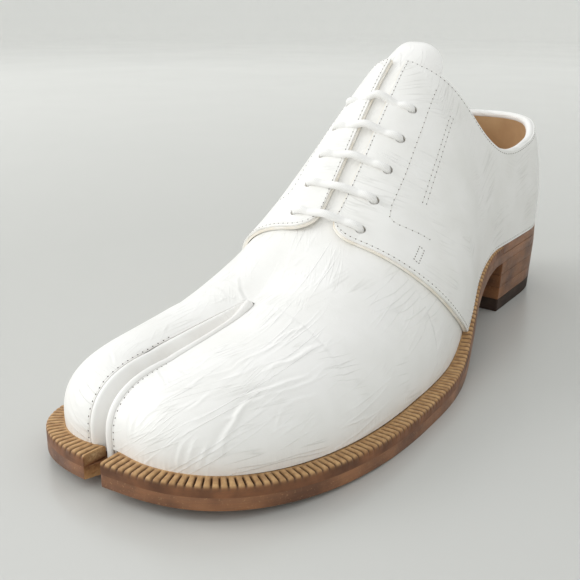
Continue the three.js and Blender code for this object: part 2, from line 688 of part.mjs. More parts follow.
// Upper: the last's skin, folded down between the toes, open at collar, throat and underneath.
const outer = form(0, 0);
const collar = aboveCollar();
const shell = outer.subtract(cleftSlot(0)).subtract(form(-WALL, SKIRT).subtract(cleftSlot(WALL)));
function throatPrism(gap, end) {
  const half = THROAT_WIDTH / 2 - gap;
  const start = FACING_CORNER + THROAT_SETBACK + gap;
  const arc = QUARTER_TURN.map(([across, back]) => [
    half - THROAT_ROUNDING * (1 - across),
    start + THROAT_ROUNDING * back,
  ]);
  const mirrored = arc.map(([x, s]) => [-x, s]).reverse();
  const outline = [...arc, [half, FACING_TOP], [half, end], [-half, end], [-half, FACING_TOP], ...mirrored];
  return planPrism(outline.map(([x, s]) => [x + throatX(s), s]), FACING_TOP / 4, BEYOND);
}
add(shell.subtract(collar).subtract(throatPrism(0, QUARTERS_MEET)), "upper", whiteLeather);

// Tongue: fills the throat at the upper's own level and stands past the facings.
const tongueShell = outer.subtract(form(-WALL, SKIRT));
add(tongueShell.intersect(throatPrism(SEAM, FACING_TOP + TONGUE_STAND)), "tongue", whiteLeather);

// Quarters: cut between two larger forms, with loose front corners and a row of eyelets.
const quarterOut = form((p) => SEAM + QUARTER + flapLift(p), 0);
const quarterShell = quarterOut.subtract(form((p) => SEAM + flapLift(p), SKIRT));
const behindEdge = behindQuarterEdge();
const belowRim = plate(0, -OUTSOLE_THICKNESS, RIM);
for (const side of Object.keys(SIDES)) {
  const sign = SIDES[side];
  const corner = QUARTER_TURN.map(([across, back]) => [
    FACING_GAP / 2 + FACING_ROUNDING * (1 - across),
    FACING_CORNER + FACING_ROUNDING * back,
  ]);
  const inner = [
    [FACING_GAP / 2, FACING_TOP],
    [FACING_GAP / 2, QUARTERS_MEET - FACING_GAP],
    [SEAM / 2, QUARTERS_MEET],
    [SEAM / 2, BEYOND],
  ];
  const outline = [...corner, ...inner, [BEYOND, BEYOND], [BEYOND, FACING_CORNER - SEAM]];
  const half = planPrism(outline.map(([x, s]) => [sign * x + throatX(s), s]), 0, BEYOND);
  const bores = [];
  for (let i = 0; i < EYELETS; i++) {
    const s = eyeletAt(i);
    const x = (sign * EYELET_SPREAD) / 2 + throatX(s);
    const [low, high] = [above(s, x, -WALL), above(s, x, SEAM + QUARTER + 2 * FLAP_LIFT)];
    const bore = new THREE.CylinderGeometry(EYELET_BORE / 2, EYELET_BORE / 2, high.distanceTo(low), 10);
    const axis = high.clone().sub(low).normalize();
    bore.applyQuaternion(new THREE.Quaternion().setFromUnitVectors(new THREE.Vector3(0, 1, 0), axis));
    const middle = low.add(high).multiplyScalar(0.5);
    bore.translate(middle.x - AXIS_SHIFT, middle.y - LENGTH / 2, middle.z);
    bores.push(solidOf(bore));
  }
  const quarter = quarterShell.intersect(behindEdge).intersect(half).subtract(collar).subtract(belowRim);
  add(quarter.subtract(wasm.Manifold.union(bores)), `quarter_${side}`, whiteLeather);
}

// Insole: a sock on top of the welt's inner margin and a filler down to the outsole.
const sockInset = (s) => ledge(s) + WALL + 3 * SEAM;
const sock = plate(sockInset, weltHigh + SEAM, weltHigh + SEAM + INSOLE_THICKNESS);
const filler = plate((s) => innerRing(s) + SEAM, weltLow, weltHigh + 2 * SEAM);
const insideUpper = form(-WALL - SEAM, SKIRT).subtract(cleftSlot(WALL + SEAM));
add(sock.add(filler).intersect(insideUpper).subtract(notch), "insole", liningLeather);

// Laces: one straight bar over the facings at each pair of eyelets.
for (let i = 0; i < EYELETS; i++) {
  const s = eyeletAt(i);
  const rest = SEAM + QUARTER + 2 * SEAM + LACE / 2;
  const path = [];
  const steps = 8;
  for (let j = 0; j <= steps; j++) {
    const x = mix(-EYELET_SPREAD / 2, EYELET_SPREAD / 2, j / steps) + throatX(s);
    const point = above(s, x, 0);
    path.push(above(s, x, rest + flapLift(point)));
  }
  const curve = new THREE.CatmullRomCurve3(path.map((p) => p.set(p.x - AXIS_SHIFT, p.y - LENGTH / 2, p.z)));
  const round = new THREE.Shape().absarc(0, 0, LACE / 2, 0, 2 * Math.PI);
  const geometry = new THREE.ExtrudeGeometry(round, { steps: 8, curveSegments: 4, extrudePath: curve });
  add(solidOf(geometry), `lace_bar_${i + 1}`, cotton);
}

export default shoe;
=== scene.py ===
"""Looks of a left split-toe derby shoe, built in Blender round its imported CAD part.

Sizes are millimetres in the last's own coordinates: x to the outer side of the foot, s back from
the sole's tip, z up from the floor. to_frame turns them into the part's frame in metres.
"""

import logging
import math
from dataclasses import dataclass, field
from enum import Enum
from typing import Callable, Sequence

import bpy
import numpy as np
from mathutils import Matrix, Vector


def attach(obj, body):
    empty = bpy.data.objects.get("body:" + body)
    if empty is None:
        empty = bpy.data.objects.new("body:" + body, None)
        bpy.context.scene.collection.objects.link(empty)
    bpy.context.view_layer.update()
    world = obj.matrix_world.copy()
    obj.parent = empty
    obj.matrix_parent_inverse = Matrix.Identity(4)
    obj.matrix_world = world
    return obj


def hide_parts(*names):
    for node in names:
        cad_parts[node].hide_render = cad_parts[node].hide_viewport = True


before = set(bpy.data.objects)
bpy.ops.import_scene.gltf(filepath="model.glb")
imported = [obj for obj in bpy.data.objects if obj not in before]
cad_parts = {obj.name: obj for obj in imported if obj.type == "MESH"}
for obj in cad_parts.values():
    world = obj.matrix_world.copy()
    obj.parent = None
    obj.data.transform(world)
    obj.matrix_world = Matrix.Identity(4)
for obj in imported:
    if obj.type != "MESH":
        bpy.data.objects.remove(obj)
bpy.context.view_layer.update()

LOG = logging.getLogger("shoe")


class Side(Enum):
    """The two sides of the shoe, with the sign of x on each."""

    LATERAL = 1
    MEDIAL = -1

    @property
    def other(self) -> "Side":
        """The opposite side."""
        return Side(-self.value)


class Table:
    """Rows of a named key and columns, read smoothly by cubic pieces."""

    def __init__(self, keys: Sequence[float], **columns: Sequence[float]) -> None:
        """Keeps the rows.

        Args:
            keys: Where each row lies, rising.
            columns: Values of each named column.
        """
        self.keys = np.array(keys, float)
        self.columns = {name: np.array(values, float) for name, values in columns.items()}

    def read(self, name: str, at: np.ndarray | float) -> np.ndarray:
        """Reads a column.

        Args:
            name: The column.
            at: Keys to read it at.

        Returns:
            Its values there.
        """
        k, y = self.keys, self.columns[name]
        x = np.clip(at, k[0], k[-1])
        i = np.clip(np.searchsorted(k, x, side="left") - 1, 0, len(k) - 2)
        low, high = np.maximum(np.arange(len(k)) - 1, 0), np.minimum(np.arange(len(k)) + 1, len(k) - 1)
        slope = (y[high] - y[low]) / (k[high] - k[low])
        run = k[i + 1] - k[i]
        t = (x - k[i]) / run
        return (
            (1 + 2 * t) * (1 - t) ** 2 * y[i]
            + t * (1 - t) ** 2 * run * slope[i]
            + t * t * (3 - 2 * t) * y[i + 1]
            + t * t * (t - 1) * run * slope[i + 1]
        )


def smooth(low: float, high: float, at: np.ndarray | float) -> np.ndarray:
    """A soft step.

    Args:
        low: Where it leaves 0.
        high: Where it reaches 1.
        at: Places to read it at.

    Returns:
        Its values there.
    """
    t = np.clip((at - low) / (high - low), 0, 1)
    return t * t * (3 - 2 * t)


def unit(vectors: np.ndarray) -> np.ndarray:
    """Vectors made one long."""
    return vectors / np.linalg.norm(vectors, axis=-1, keepdims=True)


def lengths(points: np.ndarray) -> np.ndarray:
    """Running lengths down the first axis of rows of points, from 0."""
    step = np.linalg.norm(np.diff(points, axis=0), axis=-1)
    return np.concatenate([np.zeros_like(step[:1]), np.cumsum(step, axis=0)])


def walk(path: np.ndarray, at: np.ndarray, run: np.ndarray) -> np.ndarray:
    """A path's points, or values along it, where its running length reads at."""
    return np.stack([np.interp(at, run, column) for column in path.T], 1)


def spaced(path: np.ndarray, count: int) -> np.ndarray:
    """A path again through evenly spaced points."""
    run = lengths(path)
    return walk(path, np.linspace(0, run[-1], count), run)


def left_of(path: np.ndarray) -> np.ndarray:
    """Unit normals to the left of a path in plan."""
    ahead = unit(np.gradient(path, axis=0))
    return np.stack([-ahead[:, 1], ahead[:, 0]], 1)


def both_sides(line: Callable, count: int) -> np.ndarray:
    """A path down the lateral side and back up the medial one.

    Args:
        line: Gives a side's points from front to back.
        count: Points on each side.

    Returns:
        The path, with the point at the back once.
    """
    lateral, medial = (spaced(line(side), count) for side in Side)
    return np.concatenate([lateral, medial[::-1][1:]])


def capped(rows: np.ndarray) -> np.ndarray:
    """Rows of a closed section, with a point in the middle of each end to close it.

    Args:
        rows: The section at each step, one row a line.

    Returns:
        The rows with the two points added.
    """
    caps = rows[:, [0, -1]].mean(0)
    ends = [np.repeat(caps[None, [k]], len(rows), 0) for k in (0, 1)]
    return np.concatenate([ends[0], rows, ends[1]], 1)


@dataclass
class Last:
    """The form that the shoe is built on, with the sole's outline round it."""

    length: float = 296.0
    ball: dict = field(default_factory=lambda: {Side.LATERAL: 56.5, Side.MEDIAL: 51.0})
    heel: dict = field(default_factory=lambda: {Side.LATERAL: 36.0, Side.MEDIAL: 34.0})
    toe_run: dict = field(default_factory=lambda: {Side.LATERAL: 97.0, Side.MEDIAL: 40.0})
    toe_power: dict = field(default_factory=lambda: {Side.LATERAL: 2.5, Side.MEDIAL: 2.65})
    heel_run: float = 38.0
    heel_power: float = 2.35
    outsole: float = 4.3
    welt: float = 3.4
    seam: float = 0.3
    wall: float = 2.0
    crest: float = 128.0
    toe_spring: float = 4.0
    toe_spring_run: float = 92.0
    tread_end: float = 128.0
    seat_start: float = 218.0
    breast: float = 224.0
    heel_height: float = 24.0
    swell_height: float = 54.0
    lean_height: float = 70.0
    cleft_x: float = -11.2
    cleft_end: float = 80.0
    cleft_end_x: float = -4.5
    lobe_rounding: float = 2.4
    lobe_reach: float = 10.0
    axis_shift: float = 2.75

    def __post_init__(self) -> None:
        """Reads the tables and traces the outlines once."""
        self.waist = Table(
            (0.14, 0.33, 0.4, 0.47, 0.55, 0.63, 0.72, 0.8, 1 - self.heel_run / self.length),
            LATERAL=(1, 1, 0.985, 0.925, 0.815, 0.7, 0.635, 0.632, 36 / 56.5),
            MEDIAL=(0.99, 1, 0.965, 0.86, 0.71, 0.62, 0.61, 0.65, 34 / 51),
        )
        self.ledges = Table((0, 0.38, 0.58, 0.66, 0.8, 1), width=(6.2, 6.2, 3.4, 3.4, 2.4, 2.4))
        self.top = Table(
            (0.1, 0.19, 0.27, 0.34, 0.4, 0.47, 0.54, 0.61, 0.68, 0.76, 1),
            height=(0.251, 0.294, 0.344, 0.414, 0.503, 0.64, 0.782, 0.903, 0.975, 1, 1),
            inward=(0.2, 0.2, 0.18, 0.14, 0.1, 0.08, 0.05, 0.03, 0.02, 0.01, 0),
        )
        self.sides = Table(
            (0, 0.2, 0.36, 0.5, 0.65, 0.8, 1),
            power=(2.7, 2.4, 2.15, 2.1, 2.5, 3.6, 5),
            swell=(1.2, 1.6, 1.4, 0.6, 0.4, 1.2, 2.2),
            lean=(0, 0, 0, 0, 3, 6.5, 8),
        )
        # How far the cleft's medial and lateral seams lie from its line, by s.
        self.seams = Table(
            (0, 7, 20, 37, 46, 56, 65, 70, 73, 75, 76.2, 76.8),
            medial=(7.6, 8.0, 9.2, 10.4, 9.5, 7.8, 5.9, 4.5, 3.7, 2.9, 1.9, 0),
            lateral=(1.1, 1.1, 0.3, -0.9, -0.3, 1.0, 2.3, 2.5, 2.5, 2.2, 1.5, 0),
        )
        self.rim = self.outsole + self.seam + self.welt + self.seam
        self.fan_end = 0.36 * self.length
        self.heel_fan = self.length - 1.15 * self.heel_run
        self.spine_front = 0.125 * self.length
        self.spine_back = self.length - 0.85 * self.heel_run
        self.outlines = {side: self.trace(side) for side in Side}
        self.feather = self.loop(self.ledge)

    def underside(self, s: np.ndarray) -> np.ndarray:
        """Height of the outsole's underside at s."""
        spring = self.toe_spring * (1 - np.minimum(s / self.toe_spring_run, 1)) ** 2
        return spring + self.heel_height * smooth(self.tread_end, self.seat_start, s)

    def half_width(self, side: Side, s: np.ndarray) -> np.ndarray:
        """Half width of the outsole on one side at s.

        Args:
            side: The side.
            s: Distances back from the toe tip.

        Returns:
            Millimetres.
        """
        power = self.toe_power[side]
        nose = (1 - np.clip(1 - s / self.toe_run[side], 0, 1) ** power) ** (1 / power)
        start = self.length - self.heel_run
        body = nose * self.ball[side] * self.waist.read(side.name, s / self.length)
        reach = np.clip((s - start) / self.heel_run, 0, 1)
        back = self.heel[side] * (1 - reach**self.heel_power) ** (1 / self.heel_power)
        return np.where(s < start, body, back)

    def ledge(self, s: np.ndarray) -> np.ndarray:
        """Width of the welt outside the upper at s."""
        return self.ledges.read("width", s / self.length)

    def trace(self, side: Side) -> tuple[np.ndarray, np.ndarray]:
        """One side of the outsole's outline from tip to heel.

        Args:
            side: The side.

        Returns:
            Points and inward normals, as rows of x and s.
        """
        steps = 1600
        s = self.length * (1 - np.cos(np.pi * np.arange(steps + 1) / steps)) / 2
        p = np.stack([side.value * self.half_width(side, s), s], 1)
        n = left_of(p) * side.value
        n[0], n[-1] = (0, 1), (0, -1)
        return p, n

    def inset(self, side: Side, distance: Callable | float) -> np.ndarray:
        """One side of the outline moved inward.

        Args:
            side: The side.
            distance: How far, or a function of s that says so.

        Returns:
            Points from tip to heel, as rows of x and s.
        """
        p, n = self.outlines[side]
        d = distance(p[:, 1]) if callable(distance) else distance
        q = p + n * np.broadcast_to(d, len(p))[:, None]
        q[:, 0] = np.where(side.value * q[:, 0] < 0, 0, q[:, 0])
        return q

    def cleft(self, s: np.ndarray) -> np.ndarray:
        """Where the cleft's line lies across at s."""
        return self.cleft_x + (self.cleft_end_x - self.cleft_x) * s / self.cleft_end

    def seam_offset(self, side: Side, s: np.ndarray) -> np.ndarray:
        """Signed distance from the cleft's line to its seam on one side."""
        inside = self.seams.read(side.name.lower(), s)
        return side.value * np.where(s < self.seams.keys[-1], inside, 0)

    def loop(self, distance: Callable) -> dict:
        """The inset outline as two runs that start at the cleft's two seams.

        Args:
            distance: Inset as a function of s.

        Returns:
            For each side its points and their running length.
        """
        right, left = self.inset(Side.LATERAL, distance), self.inset(Side.MEDIAL, distance)
        full = np.concatenate([left[::-1], right[1:]])
        run = lengths(full)
        keep = np.concatenate([[True], np.diff(run) > 1e-6])
        full, run = full[keep], run[keep]
        front = full[:, 1] < 30
        runs = {}
        for side in Side:
            foot_x = self.cleft_x + self.seam_offset(side, np.array(7.0))
            start = np.interp(foot_x, full[front][:, 0], run[front])
            if side is Side.LATERAL:
                part = run >= start
                points, along = full[part], run[part] - start
            else:
                part = run <= start
                points, along = full[part][::-1], (start - run[part])[::-1]
            first = walk(full, np.array([start]), run)
            runs[side] = (np.concatenate([first, points]), np.concatenate([[0], along + 1e-9]))
        return runs

    def foot(self, side: Side, v: np.ndarray, loop: dict | None = None) -> np.ndarray:
        """Feet of the sections at stations v: 0 to 1 round the toe, 1 to 2 along, 2 to 3 round the heel.

        Args:
            side: The side.
            v: Stations.
            loop: Runs made by loop(), the feather line if none is given.

        Returns:
            Rows of x and s.
        """
        points, along = (loop or self.feather)[side]
        back = np.maximum.accumulate(np.where(along > 40, points[:, 1], -1e3 + np.arange(len(along)) * 1e-4))
        toe = np.interp(self.fan_end, back, along)
        heel = np.interp(self.heel_fan, back, along)
        middle = np.interp(self.fan_end + (self.heel_fan - self.fan_end) * np.clip(v - 1, 0, 1), back, along)
        at = np.where(v <= 1, toe * v, np.where(v <= 2, middle, heel + (along[-1] - heel) * (v - 2)))
        return np.stack([np.interp(at, along, points[:, 0]), np.interp(at, along, points[:, 1])], -1)

    def spine(self, side: Side, v: np.ndarray) -> np.ndarray:
        """Where the section at station v meets the crest, or the cleft's seam in front of its end.

        Args:
            side: The side.
            v: Stations.

        Returns:
            Rows of x, s and z.
        """
        s = np.where(
            v <= 1,
            self.spine_front + (self.fan_end - self.spine_front) * np.clip(v, 0, 1) ** 1.25,
            np.where(
                v <= 2,
                self.fan_end + (self.heel_fan - self.fan_end) * (v - 1),
                self.heel_fan + (self.spine_back - self.heel_fan) * (v - 2),
            ),
        )
        crest_x = -self.ball[Side.MEDIAL] * self.top.read("inward", s / self.length)
        to_crest = smooth(self.cleft_end, self.cleft_end + 45, s)
        x = self.cleft(np.minimum(s, self.cleft_end)) * (1 - to_crest) + crest_x * to_crest
        x = x + self.seam_offset(side, s)
        return np.stack([x, s, self.crest * self.top.read("height", s / self.length)], -1)

    def fan_station(self, s: float) -> float:
        """The station whose section meets the crest or seam at s, within the toe's fan."""
        return ((s - self.spine_front) / (self.fan_end - self.spine_front)) ** 0.8

    def station(self, s: np.ndarray) -> np.ndarray:
        """The station whose section lies at s, behind the toe's fan."""
        return 1 + (s - self.fan_end) / (self.heel_fan - self.fan_end)

    def face(self, side: Side, v: np.ndarray, turn: np.ndarray) -> np.ndarray:
        """Points of the upper's outer face.

        Args:
            side: The side.
            v: Stations.
            turn: 0 at the foot to 1 on the crest.

        Returns:
            Rows of x, s and z.
        """
        v, turn = np.broadcast_arrays(np.asarray(v, float), np.asarray(turn, float))
        foot, spine = self.foot(side, v), self.spine(side, v)
        share = foot[..., 1] / self.length
        power = self.sides.read("power", share)
        angle = turn * np.pi / 2
        cos, sin = np.clip(np.cos(angle), 0, 1), np.clip(np.sin(angle), 0, 1)
        inward = 1 - cos ** (2 / power)
        foot_z = self.underside(foot[..., 1]) + self.rim
        rise = (spine[..., 2] - foot_z) * sin ** (2 / power)
        reach = np.linalg.norm(spine[..., :2] - foot, axis=-1)
        low = np.clip(rise / self.swell_height, 0, 1)
        swell = self.sides.read("swell", share) * np.sin(np.pi * low) * (1 - inward)
        lean = self.sides.read("lean", share) * (rise / self.lean_height) ** 1.6 * (1 - inward)
        shift = (inward + (lean - swell) / reach)[..., None]
        plan = foot + (spine[..., :2] - foot) * shift
        across = (plan[..., 0] - self.cleft(np.minimum(plan[..., 1], 100))) / self.lobe_reach
        fade = 1 - smooth(76, 106, plan[..., 1])
        sink = self.lobe_rounding * np.exp(-across * across) * fade
        return np.stack([plan[..., 0], plan[..., 1] + sink * cos, foot_z + rise - sink * sin], -1)

    def normal(self, side: Side, v: np.ndarray, turn: np.ndarray) -> np.ndarray:
        """Outward unit normals of the outer face.

        Args:
            side: The side.
            v: Stations.
            turn: Turns.

        Returns:
            Rows of x, s and z.
        """
        v, turn = np.broadcast_arrays(np.asarray(v, float), np.asarray(turn, float))

        def cross(which: Side, at: np.ndarray) -> np.ndarray:
            """Unit normals of one side's face at stations at.

            Args:
                which: The side.
                at: Stations.

            Returns:
                The unit normals.
            """
            dv, dt = 0.006, 0.012
            low, high = np.clip(at - dv, 0, 3), np.clip(at + dv, 0, 3)
            along = self.face(which, high, turn) - self.face(which, low, turn)
            lower, upper = np.clip(turn - dt, 0, 1), np.clip(turn + dt, 0, 1)
            up = self.face(which, at, upper) - self.face(which, at, lower)
            n = np.cross(along, up) * which.value
            return n / np.maximum(np.linalg.norm(n, axis=-1, keepdims=True), 1e-12)

        n = cross(side, v)
        behind = self.spine(side, v)[..., 1] > self.seams.keys[-1]
        shared = ((turn > 0.999) & behind) | (v > 2.999)
        if shared.any():
            n = unit(np.where(shared[..., None], n + cross(side.other, v), n))
        return n

    def raised(self, side: Side, v: np.ndarray, turn: np.ndarray, distance: np.ndarray | float) -> np.ndarray:
        """Points of the outer face moved outward by a distance."""
        d = np.asarray(distance, float)
        return self.face(side, v, turn) + self.normal(side, v, turn) * d[..., None]

    def beyond(self, read: Callable, side: Side, v: np.ndarray, turn: np.ndarray) -> np.ndarray:
        """Faces or normals where a turn past 1 goes over the crest and down the other side."""
        back = read(side.other, v, np.clip(2 - turn, 0, 1))
        return np.where((turn > 1)[..., None], back, read(side, v, np.clip(turn, 0, 1)))

    def turn_over(self, side: Side, s: np.ndarray, x: np.ndarray) -> np.ndarray:
        """The turn at which the section at s passes through x, past 1 where x lies beyond the crest."""
        past = side.value * (x - self.spine(side, self.station(s))[..., 0]) < 0
        return np.where(past, 2 - self.turn_across(side.other, s, x), self.turn_across(side, s, x))

    def turn_across(self, side: Side, s: np.ndarray, x: np.ndarray) -> np.ndarray:
        """The turn at which the section at s passes through x.

        Args:
            side: The side.
            s: Distances back from the toe tip.
            x: Lateral coordinates.

        Returns:
            Turns.
        """
        v = self.station(s)
        foot, spine = self.foot(side, v), self.spine(side, v)
        power = self.sides.read("power", s / self.length)
        out = np.clip((x - spine[..., 0]) / (foot[..., 0] - spine[..., 0]), 0, 1)
        return np.arccos(out ** (power / 2)) / (np.pi / 2)

    def turn_height(self, side: Side, v: np.ndarray, height: np.ndarray) -> np.ndarray:
        """The turn at which the section at station v reaches a height above the floor.

        Args:
            side: The side.
            v: Stations.
            height: Height above the floor.

        Returns:
            Turns.
        """
        low, high = np.zeros_like(v), np.ones_like(v)
        for _ in range(26):
            middle = (low + high) / 2
            under = self.face(side, v, middle)[..., 2] < height
            low, high = np.where(under, middle, low), np.where(under, high, middle)
        return (low + high) / 2


LAST = Last()


def to_frame(points: np.ndarray) -> np.ndarray:
    """Millimetres of the last turned into metres of the part's frame."""
    return (points - np.array([LAST.axis_shift, LAST.length / 2, 0.0])) * 0.001


def even(points: np.ndarray, count: int) -> np.ndarray:
    """Values from 0 to 1 that space a path evenly.

    Args:
        points: Points along the path, sampled at even values from 0 to 1.
        count: How many values to return.

    Returns:
        The values.
    """
    run = lengths(points)
    return np.interp(np.linspace(0, run[-1], count), run, np.linspace(0, 1, len(points)))


# Blender helpers


def clear_selection() -> None:
    """Leaves object mode with nothing selected."""
    if bpy.context.object and bpy.context.object.mode != "OBJECT":
        bpy.ops.object.mode_set(mode="OBJECT")
    bpy.ops.object.select_all(action="DESELECT")


def activate(piece: bpy.types.Object) -> None:
    """Selects one object and makes it the active one.

    Args:
        piece: The object.
    """
    clear_selection()
    piece.select_set(True)
    bpy.context.view_layer.objects.active = piece


def coordinates(piece: bpy.types.Object) -> np.ndarray:
    """Reads the places of a mesh's vertices.

    Args:
        piece: The object.

    Returns:
        Rows of x, y and z.
    """
    values = np.empty(len(piece.data.vertices) * 3)
    piece.data.vertices.foreach_get("co", values)
    return values.reshape(-1, 3)


def place(piece: bpy.types.Object, points: np.ndarray) -> None:
    """Moves a mesh's vertices to points in metres."""
    piece.data.vertices.foreach_set("co", np.ascontiguousarray(points, float).ravel())
    piece.data.update()


def sheet(name: str, points: np.ndarray, flip: bool = False) -> bpy.types.Object:
    """A grid primitive whose vertices are pulled to rows of points.

    Args:
        name: Name of the piece.
        points: Rows by columns of points in the last's millimetres.
        flip: Turns its faces round.

    Returns:
        The object, with its rows and columns kept as a UV map in millimetres.
    """
    rows, columns = points.shape[:2]
    clear_selection()
    bpy.ops.mesh.primitive_grid_add(x_subdivisions=columns - 1, y_subdivisions=rows - 1, size=2)
    piece = bpy.context.object
    piece.name = piece.data.name = name
    place(piece, to_frame(points))
    along = lengths(points[rows // 2])
    lay_flat(piece, along, lengths(points))
    if flip:
        piece.data.flip_normals()
    return piece


def lay_flat(piece: bpy.types.Object, along: np.ndarray, across: np.ndarray) -> None:
    """Writes a sheet's UV map.

    Args:
        piece: The sheet.
        along: The first coordinate of each column.
        across: The second coordinate of each point, rows by columns.
    """
    loops = np.empty(len(piece.data.loops), int)
    piece.data.loops.foreach_get("vertex_index", loops)
    flat = np.stack([np.broadcast_to(along, across.shape), across], -1).reshape(-1, 2)
    layer = piece.data.uv_layers.active or piece.data.uv_layers.new(name="flat")
    layer.data.foreach_set("uv", flat[loops].ravel())


def give(piece: bpy.types.Object, name: str, kind: str, field_name: str, values: np.ndarray) -> None:
    """Gives a mesh's points an attribute.

    Args:
        piece: The piece.
        name: The attribute's name.
        kind: Its data type.
        field_name: What its values are called in Blender.
        values: A value for each point.
    """
    layer = piece.data.attributes.new(name, kind, "POINT")
    layer.data.foreach_set(field_name, values.ravel())


def join(name: str, pieces: Sequence[bpy.types.Object], weld: float = 0.0) -> bpy.types.Object:
    """Joins pieces into one mesh.

    Args:
        name: Name of the result.
        pieces: What is joined.
        weld: Distance in millimetres within which vertices are merged, none if 0.

    Returns:
        The joined object.
    """
    clear_selection()
    for piece in pieces:
        piece.select_set(True)
    bpy.context.view_layer.objects.active = pieces[0]
    if len(pieces) > 1:
        bpy.ops.object.join()
    whole = bpy.context.object
    whole.name = whole.data.name = name
    if weld:
        bpy.ops.object.mode_set(mode="EDIT")
        bpy.ops.mesh.select_all(action="SELECT")
        bpy.ops.mesh.remove_doubles(threshold=weld * 0.001)
        bpy.ops.object.mode_set(mode="OBJECT")
    return whole


def modify(piece: bpy.types.Object, kind: str, **settings: object) -> None:
    """Adds a modifier with its settings and applies it.

    Args:
        piece: The object.
        kind: Kind of the modifier.
        settings: The modifier's settings.
    """
    activate(piece)
    modifier = piece.modifiers.new(kind.title(), kind)
    for name, value in settings.items():
        setattr(modifier, name, value)
    bpy.ops.object.modifier_apply(modifier=modifier.name)


def bevel(piece: bpy.types.Object, width: float, degrees: float) -> None:
    """Rounds the edges sharper than an angle by a width in metres."""
    angle = math.radians(degrees)
    modify(piece, "BEVEL", width=width, segments=2, limit_method="ANGLE", angle_limit=angle)


def soften(piece: bpy.types.Object, degrees: float = 40) -> None:
    """Shades a piece smooth below an angle."""
    activate(piece)
    bpy.ops.object.shade_smooth_by_angle(angle=math.radians(degrees))


def dress(
    piece: bpy.types.Object,
    finish: bpy.types.Material,
    nodes: Sequence[str] = (),
    degrees: float = 40,
) -> None:
    """Gives a finished piece its material and body, and hides the CAD nodes that it stands for.

    Args:
        piece: The piece.
        finish: Its material.
        nodes: CAD nodes that it replaces.
        degrees: Angle below which it is shaded smooth.
    """
    piece.data.materials.clear()
    piece.data.materials.append(finish)
    soften(piece, degrees)
    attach(piece, "root")
    if nodes:
        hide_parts(*nodes)
    LOG.info("%s: %d faces", piece.name, len(piece.data.polygons))


def prism(name: str, low: np.ndarray, high: np.ndarray, cuts: Sequence[float] = ()) -> bpy.types.Object:
    """A cylinder primitive pulled to a lower and an upper ring of points.

    Args:
        name: Name of the piece.
        low: Ring of points in the last's millimetres.
        high: The ring above it, point for point.
        cuts: Places along s where the flat faces are cut across.

    Returns:
        The object.
    """
    count = len(low)
    clear_selection()
    bpy.ops.mesh.primitive_cylinder_add(vertices=count, radius=1, depth=2, end_fill_type="NGON")
    piece = bpy.context.object
    piece.name = piece.data.name = name
    start = coordinates(piece)
    index = np.rint(np.arctan2(start[:, 1], start[:, 0]) / (2 * np.pi) * count).astype(int) % count
    lifted = (start[:, 2] > 0)[:, None]
    place(piece, to_frame(np.where(lifted, high[index], low[index])))
    bpy.ops.object.mode_set(mode="EDIT")
    for s in cuts:
        bpy.ops.mesh.select_all(action="SELECT")
        bpy.ops.mesh.bisect(plane_co=to_frame(np.array([0.0, s, 0.0])).tolist(), plane_no=(0, 1, 0))
    bpy.ops.mesh.select_all(action="SELECT")
    bpy.ops.mesh.normals_make_consistent(inside=False)
    bpy.ops.object.mode_set(mode="OBJECT")
    return piece


def tube(name: str, path: np.ndarray, radius: np.ndarray | float, sides: int = 16) -> bpy.types.Object:
    """A round cord along a path, closed at both ends.

    Args:
        name: Name of the piece.
        path: Points in the last's millimetres.
        radius: Its radius, or one for each point.
        sides: Points round it.

    Returns:
        The object, with running length and girth as its UV map.
    """
    tangent = unit(np.gradient(path, axis=0))
    side = np.zeros_like(path)
    start = np.cross(tangent[0], (0.0, 0.0, 1.0) if abs(tangent[0][2]) < 0.9 else (0.0, 1.0, 0.0))
    for i, t in enumerate(tangent):
        start = side[i] = unit(start - t * start.dot(t))
    up = np.cross(tangent, side)
    reach = np.broadcast_to(np.asarray(radius, float), (len(path),))
    angle = np.linspace(0, 2 * np.pi, sides + 1)[:, None, None]
    rows = path + (np.cos(angle) * side + np.sin(angle) * up) * reach[:, None]
    ends = [np.repeat(path[None, [k]], sides + 1, 0) for k in (0, -1)]
    rows = np.concatenate([ends[0], rows, ends[1]], 1)
    return join(name, [sheet(name, rows, flip=True)], weld=0.01)


# Materials


def linear(code: str) -> tuple[float, float, float, float]:
    """A six-digit sRGB colour as linear values.

    Args:
        code: The colour as six hexadecimal digits.

    Returns:
        Red, green, blue and alpha.
    """
    parts = [int(code[i : i + 2], 16) / 255 for i in (0, 2, 4)]
    red, green, blue = ((p / 12.92) if p <= 0.04045 else ((p + 0.055) / 1.055) ** 2.4 for p in parts)
    return red, green, blue, 1.0


def add(tree: bpy.types.NodeTree, kind: str, links: dict | None = None, **settings: object) -> bpy.types.Node:
    """Adds a node.

    Args:
        tree: The material's tree.
        kind: Node type without its ShaderNode prefix.
        links: Output sockets or values for the node's inputs, by their names or numbers.
        settings: Its properties.

    Returns:
        The node.
    """
    made = tree.nodes.new("ShaderNode" + kind)
    for name, value in settings.items():
        setattr(made, name, value)
    for name, value in (links or {}).items():
        if isinstance(value, bpy.types.NodeSocket):
            tree.links.new(value, made.inputs[name])
        else:
            made.inputs[name].default_value = value
    return made


